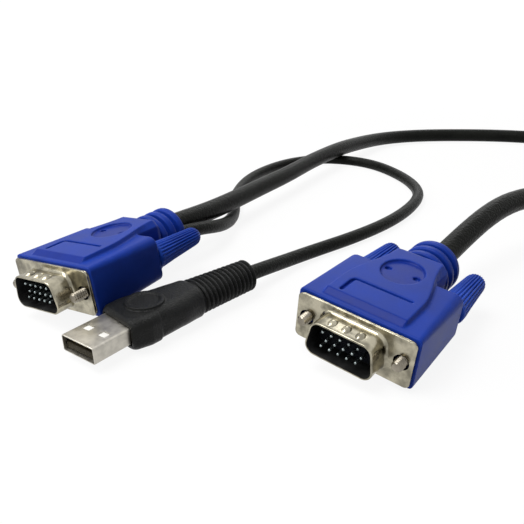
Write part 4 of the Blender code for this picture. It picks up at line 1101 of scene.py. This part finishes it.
def sleeve_outline(share, groove):
    """Oval that grows with its share of the way from the lead to the shoulder."""
    half_width = (SLEEVE_END_DIAMETER + (SLEEVE_ROOT_WIDTH - SLEEVE_END_DIAMETER) * share) / 2 - groove
    half_height = (SLEEVE_END_DIAMETER + (SLEEVE_ROOT_HEIGHT - SLEEVE_END_DIAMETER) * share) / 2 - groove
    return [(half_width * y, half_height * z) for y, z in ring_outline(1.0, 48)]


def sleeve_sections():
    """Rings with round crests, thinner towards the lead."""
    front = -GRIP_BLOCK_LENGTH - SHOULDER_LENGTH
    back = front - SLEEVE_LENGTH
    pitch = SLEEVE_LENGTH / SLEEVE_RINGS
    sections = []
    for i in range(SLEEVE_RINGS):
        share = i / (SLEEVE_RINGS - 1)
        for place, depth in ((0, 1), (0.2, 0.7), (0.32, 0.2), (0.5, 0), (0.68, 0.2), (0.8, 0.7)):
            sections.append((back + pitch * (i + place), sleeve_outline(share, depth * SLEEVE_GROOVE_DEPTH)))
    inner = sleeve_outline(1, SLEEVE_GROOVE_DEPTH)
    return sections + [(front, inner), (front + pitch, inner)]


def overmould_model():
    """Block, sleeve and pad as one body, with a pocket for the shell, which sits in it at an angle."""
    tall = GRIP_BLOCK_HEIGHT / 2
    body = loft("usb_overmould_rubber", body_sections())
    combine(body, loft("sleeve", sleeve_sections()), "UNION")
    combine(body, upright_cylinder(PAD_DIAMETER, 2 * PAD_RISE, (-PAD_FROM_FRONT, 0, tall), sides=64), "UNION")
    dish = upright_cylinder(PAD_DIAMETER - 2 * PAD_RIM, PAD_RISE, (-PAD_FROM_FRONT, 0, tall + PAD_RISE),
                            sides=64)
    combine(body, dish, "DIFFERENCE")
    pocket = box("pocket", (2 * (USB_SEATED + GAP), USB_WIDTH + 2 * GAP, USB_HEIGHT + 2 * GAP),
                 (-USB_EXPOSED, 0, 0))
    pocket.data.transform(USB_BODY.inverted() @ USB_PLUG)
    combine(body, pocket, "DIFFERENCE")
    modify(body, "REMESH", mode="VOXEL", voxel_size=OVERMOULD_VOXEL, use_smooth_shade=True)
    modify(body, "SMOOTH", factor=0.5, iterations=3)
    return body


overmould = overmould_model()
rubber = black_plastic("overmould_rubber", OVERMOULD_BLACK, roughness=0.32, grain=2600, shine=0.15)
finish_model(overmould, rubber)
move_to(overmould, USB_BODY, "cable", "usb_overmould")

# Coil tie. A black plastic strap, 6 mm wide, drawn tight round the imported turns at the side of
# the coil. It sits a little inwards, because the eased cord runs slightly inside its places.
TIE_WIDTH = 6.0 * MM
TIE_THICKNESS = 1.0 * MM
TIE_EDGE = 0.3 * MM
EASED_IN = 0.4 * MM
STRAP_BLACK = (0.012, 0.012, 0.012)


def tie_outline(grow):
    """Belt drawn tight round the six outer places of the bundle."""
    points = []
    for number in range(6):
        turn = math.radians(60 * number)
        for swing in (-30, -15, 0, 15):
            lean = turn + math.radians(swing)
            reach = CORD_DIAMETER / 2 + grow
            points.append((CORD_DIAMETER * math.cos(turn) + reach * math.cos(lean),
                           CORD_DIAMETER * math.sin(turn) + reach * math.sin(lean)))
    return points


around = tie_outline(GAP + TIE_THICKNESS)
tie = loft("coil_tie_strap", [(-TIE_WIDTH / 2, around), (TIE_WIDTH / 2, around)])
combine(tie, loft("hollow", [(-TIE_WIDTH, tie_outline(GAP)), (TIE_WIDTH, tie_outline(GAP))]), "DIFFERENCE")
modify(tie, "BEVEL", width=TIE_EDGE, segments=3, limit_method="ANGLE", angle_limit=math.radians(50))
finish_model(tie, black_plastic("tie_strap", STRAP_BLACK, roughness=0.6, grain=2600), degrees=40)
along = math.radians(TIE_ANGLE)
bundle = coil_point(TIE_ANGLE, COIL_RADIUS - EASED_IN, BUNDLE_HEIGHT)
move_to(tie, Matrix.Translation(bundle) @ Matrix.Rotation(along - math.pi / 2, 4, "Z"),
        "cable", "coil_tie")
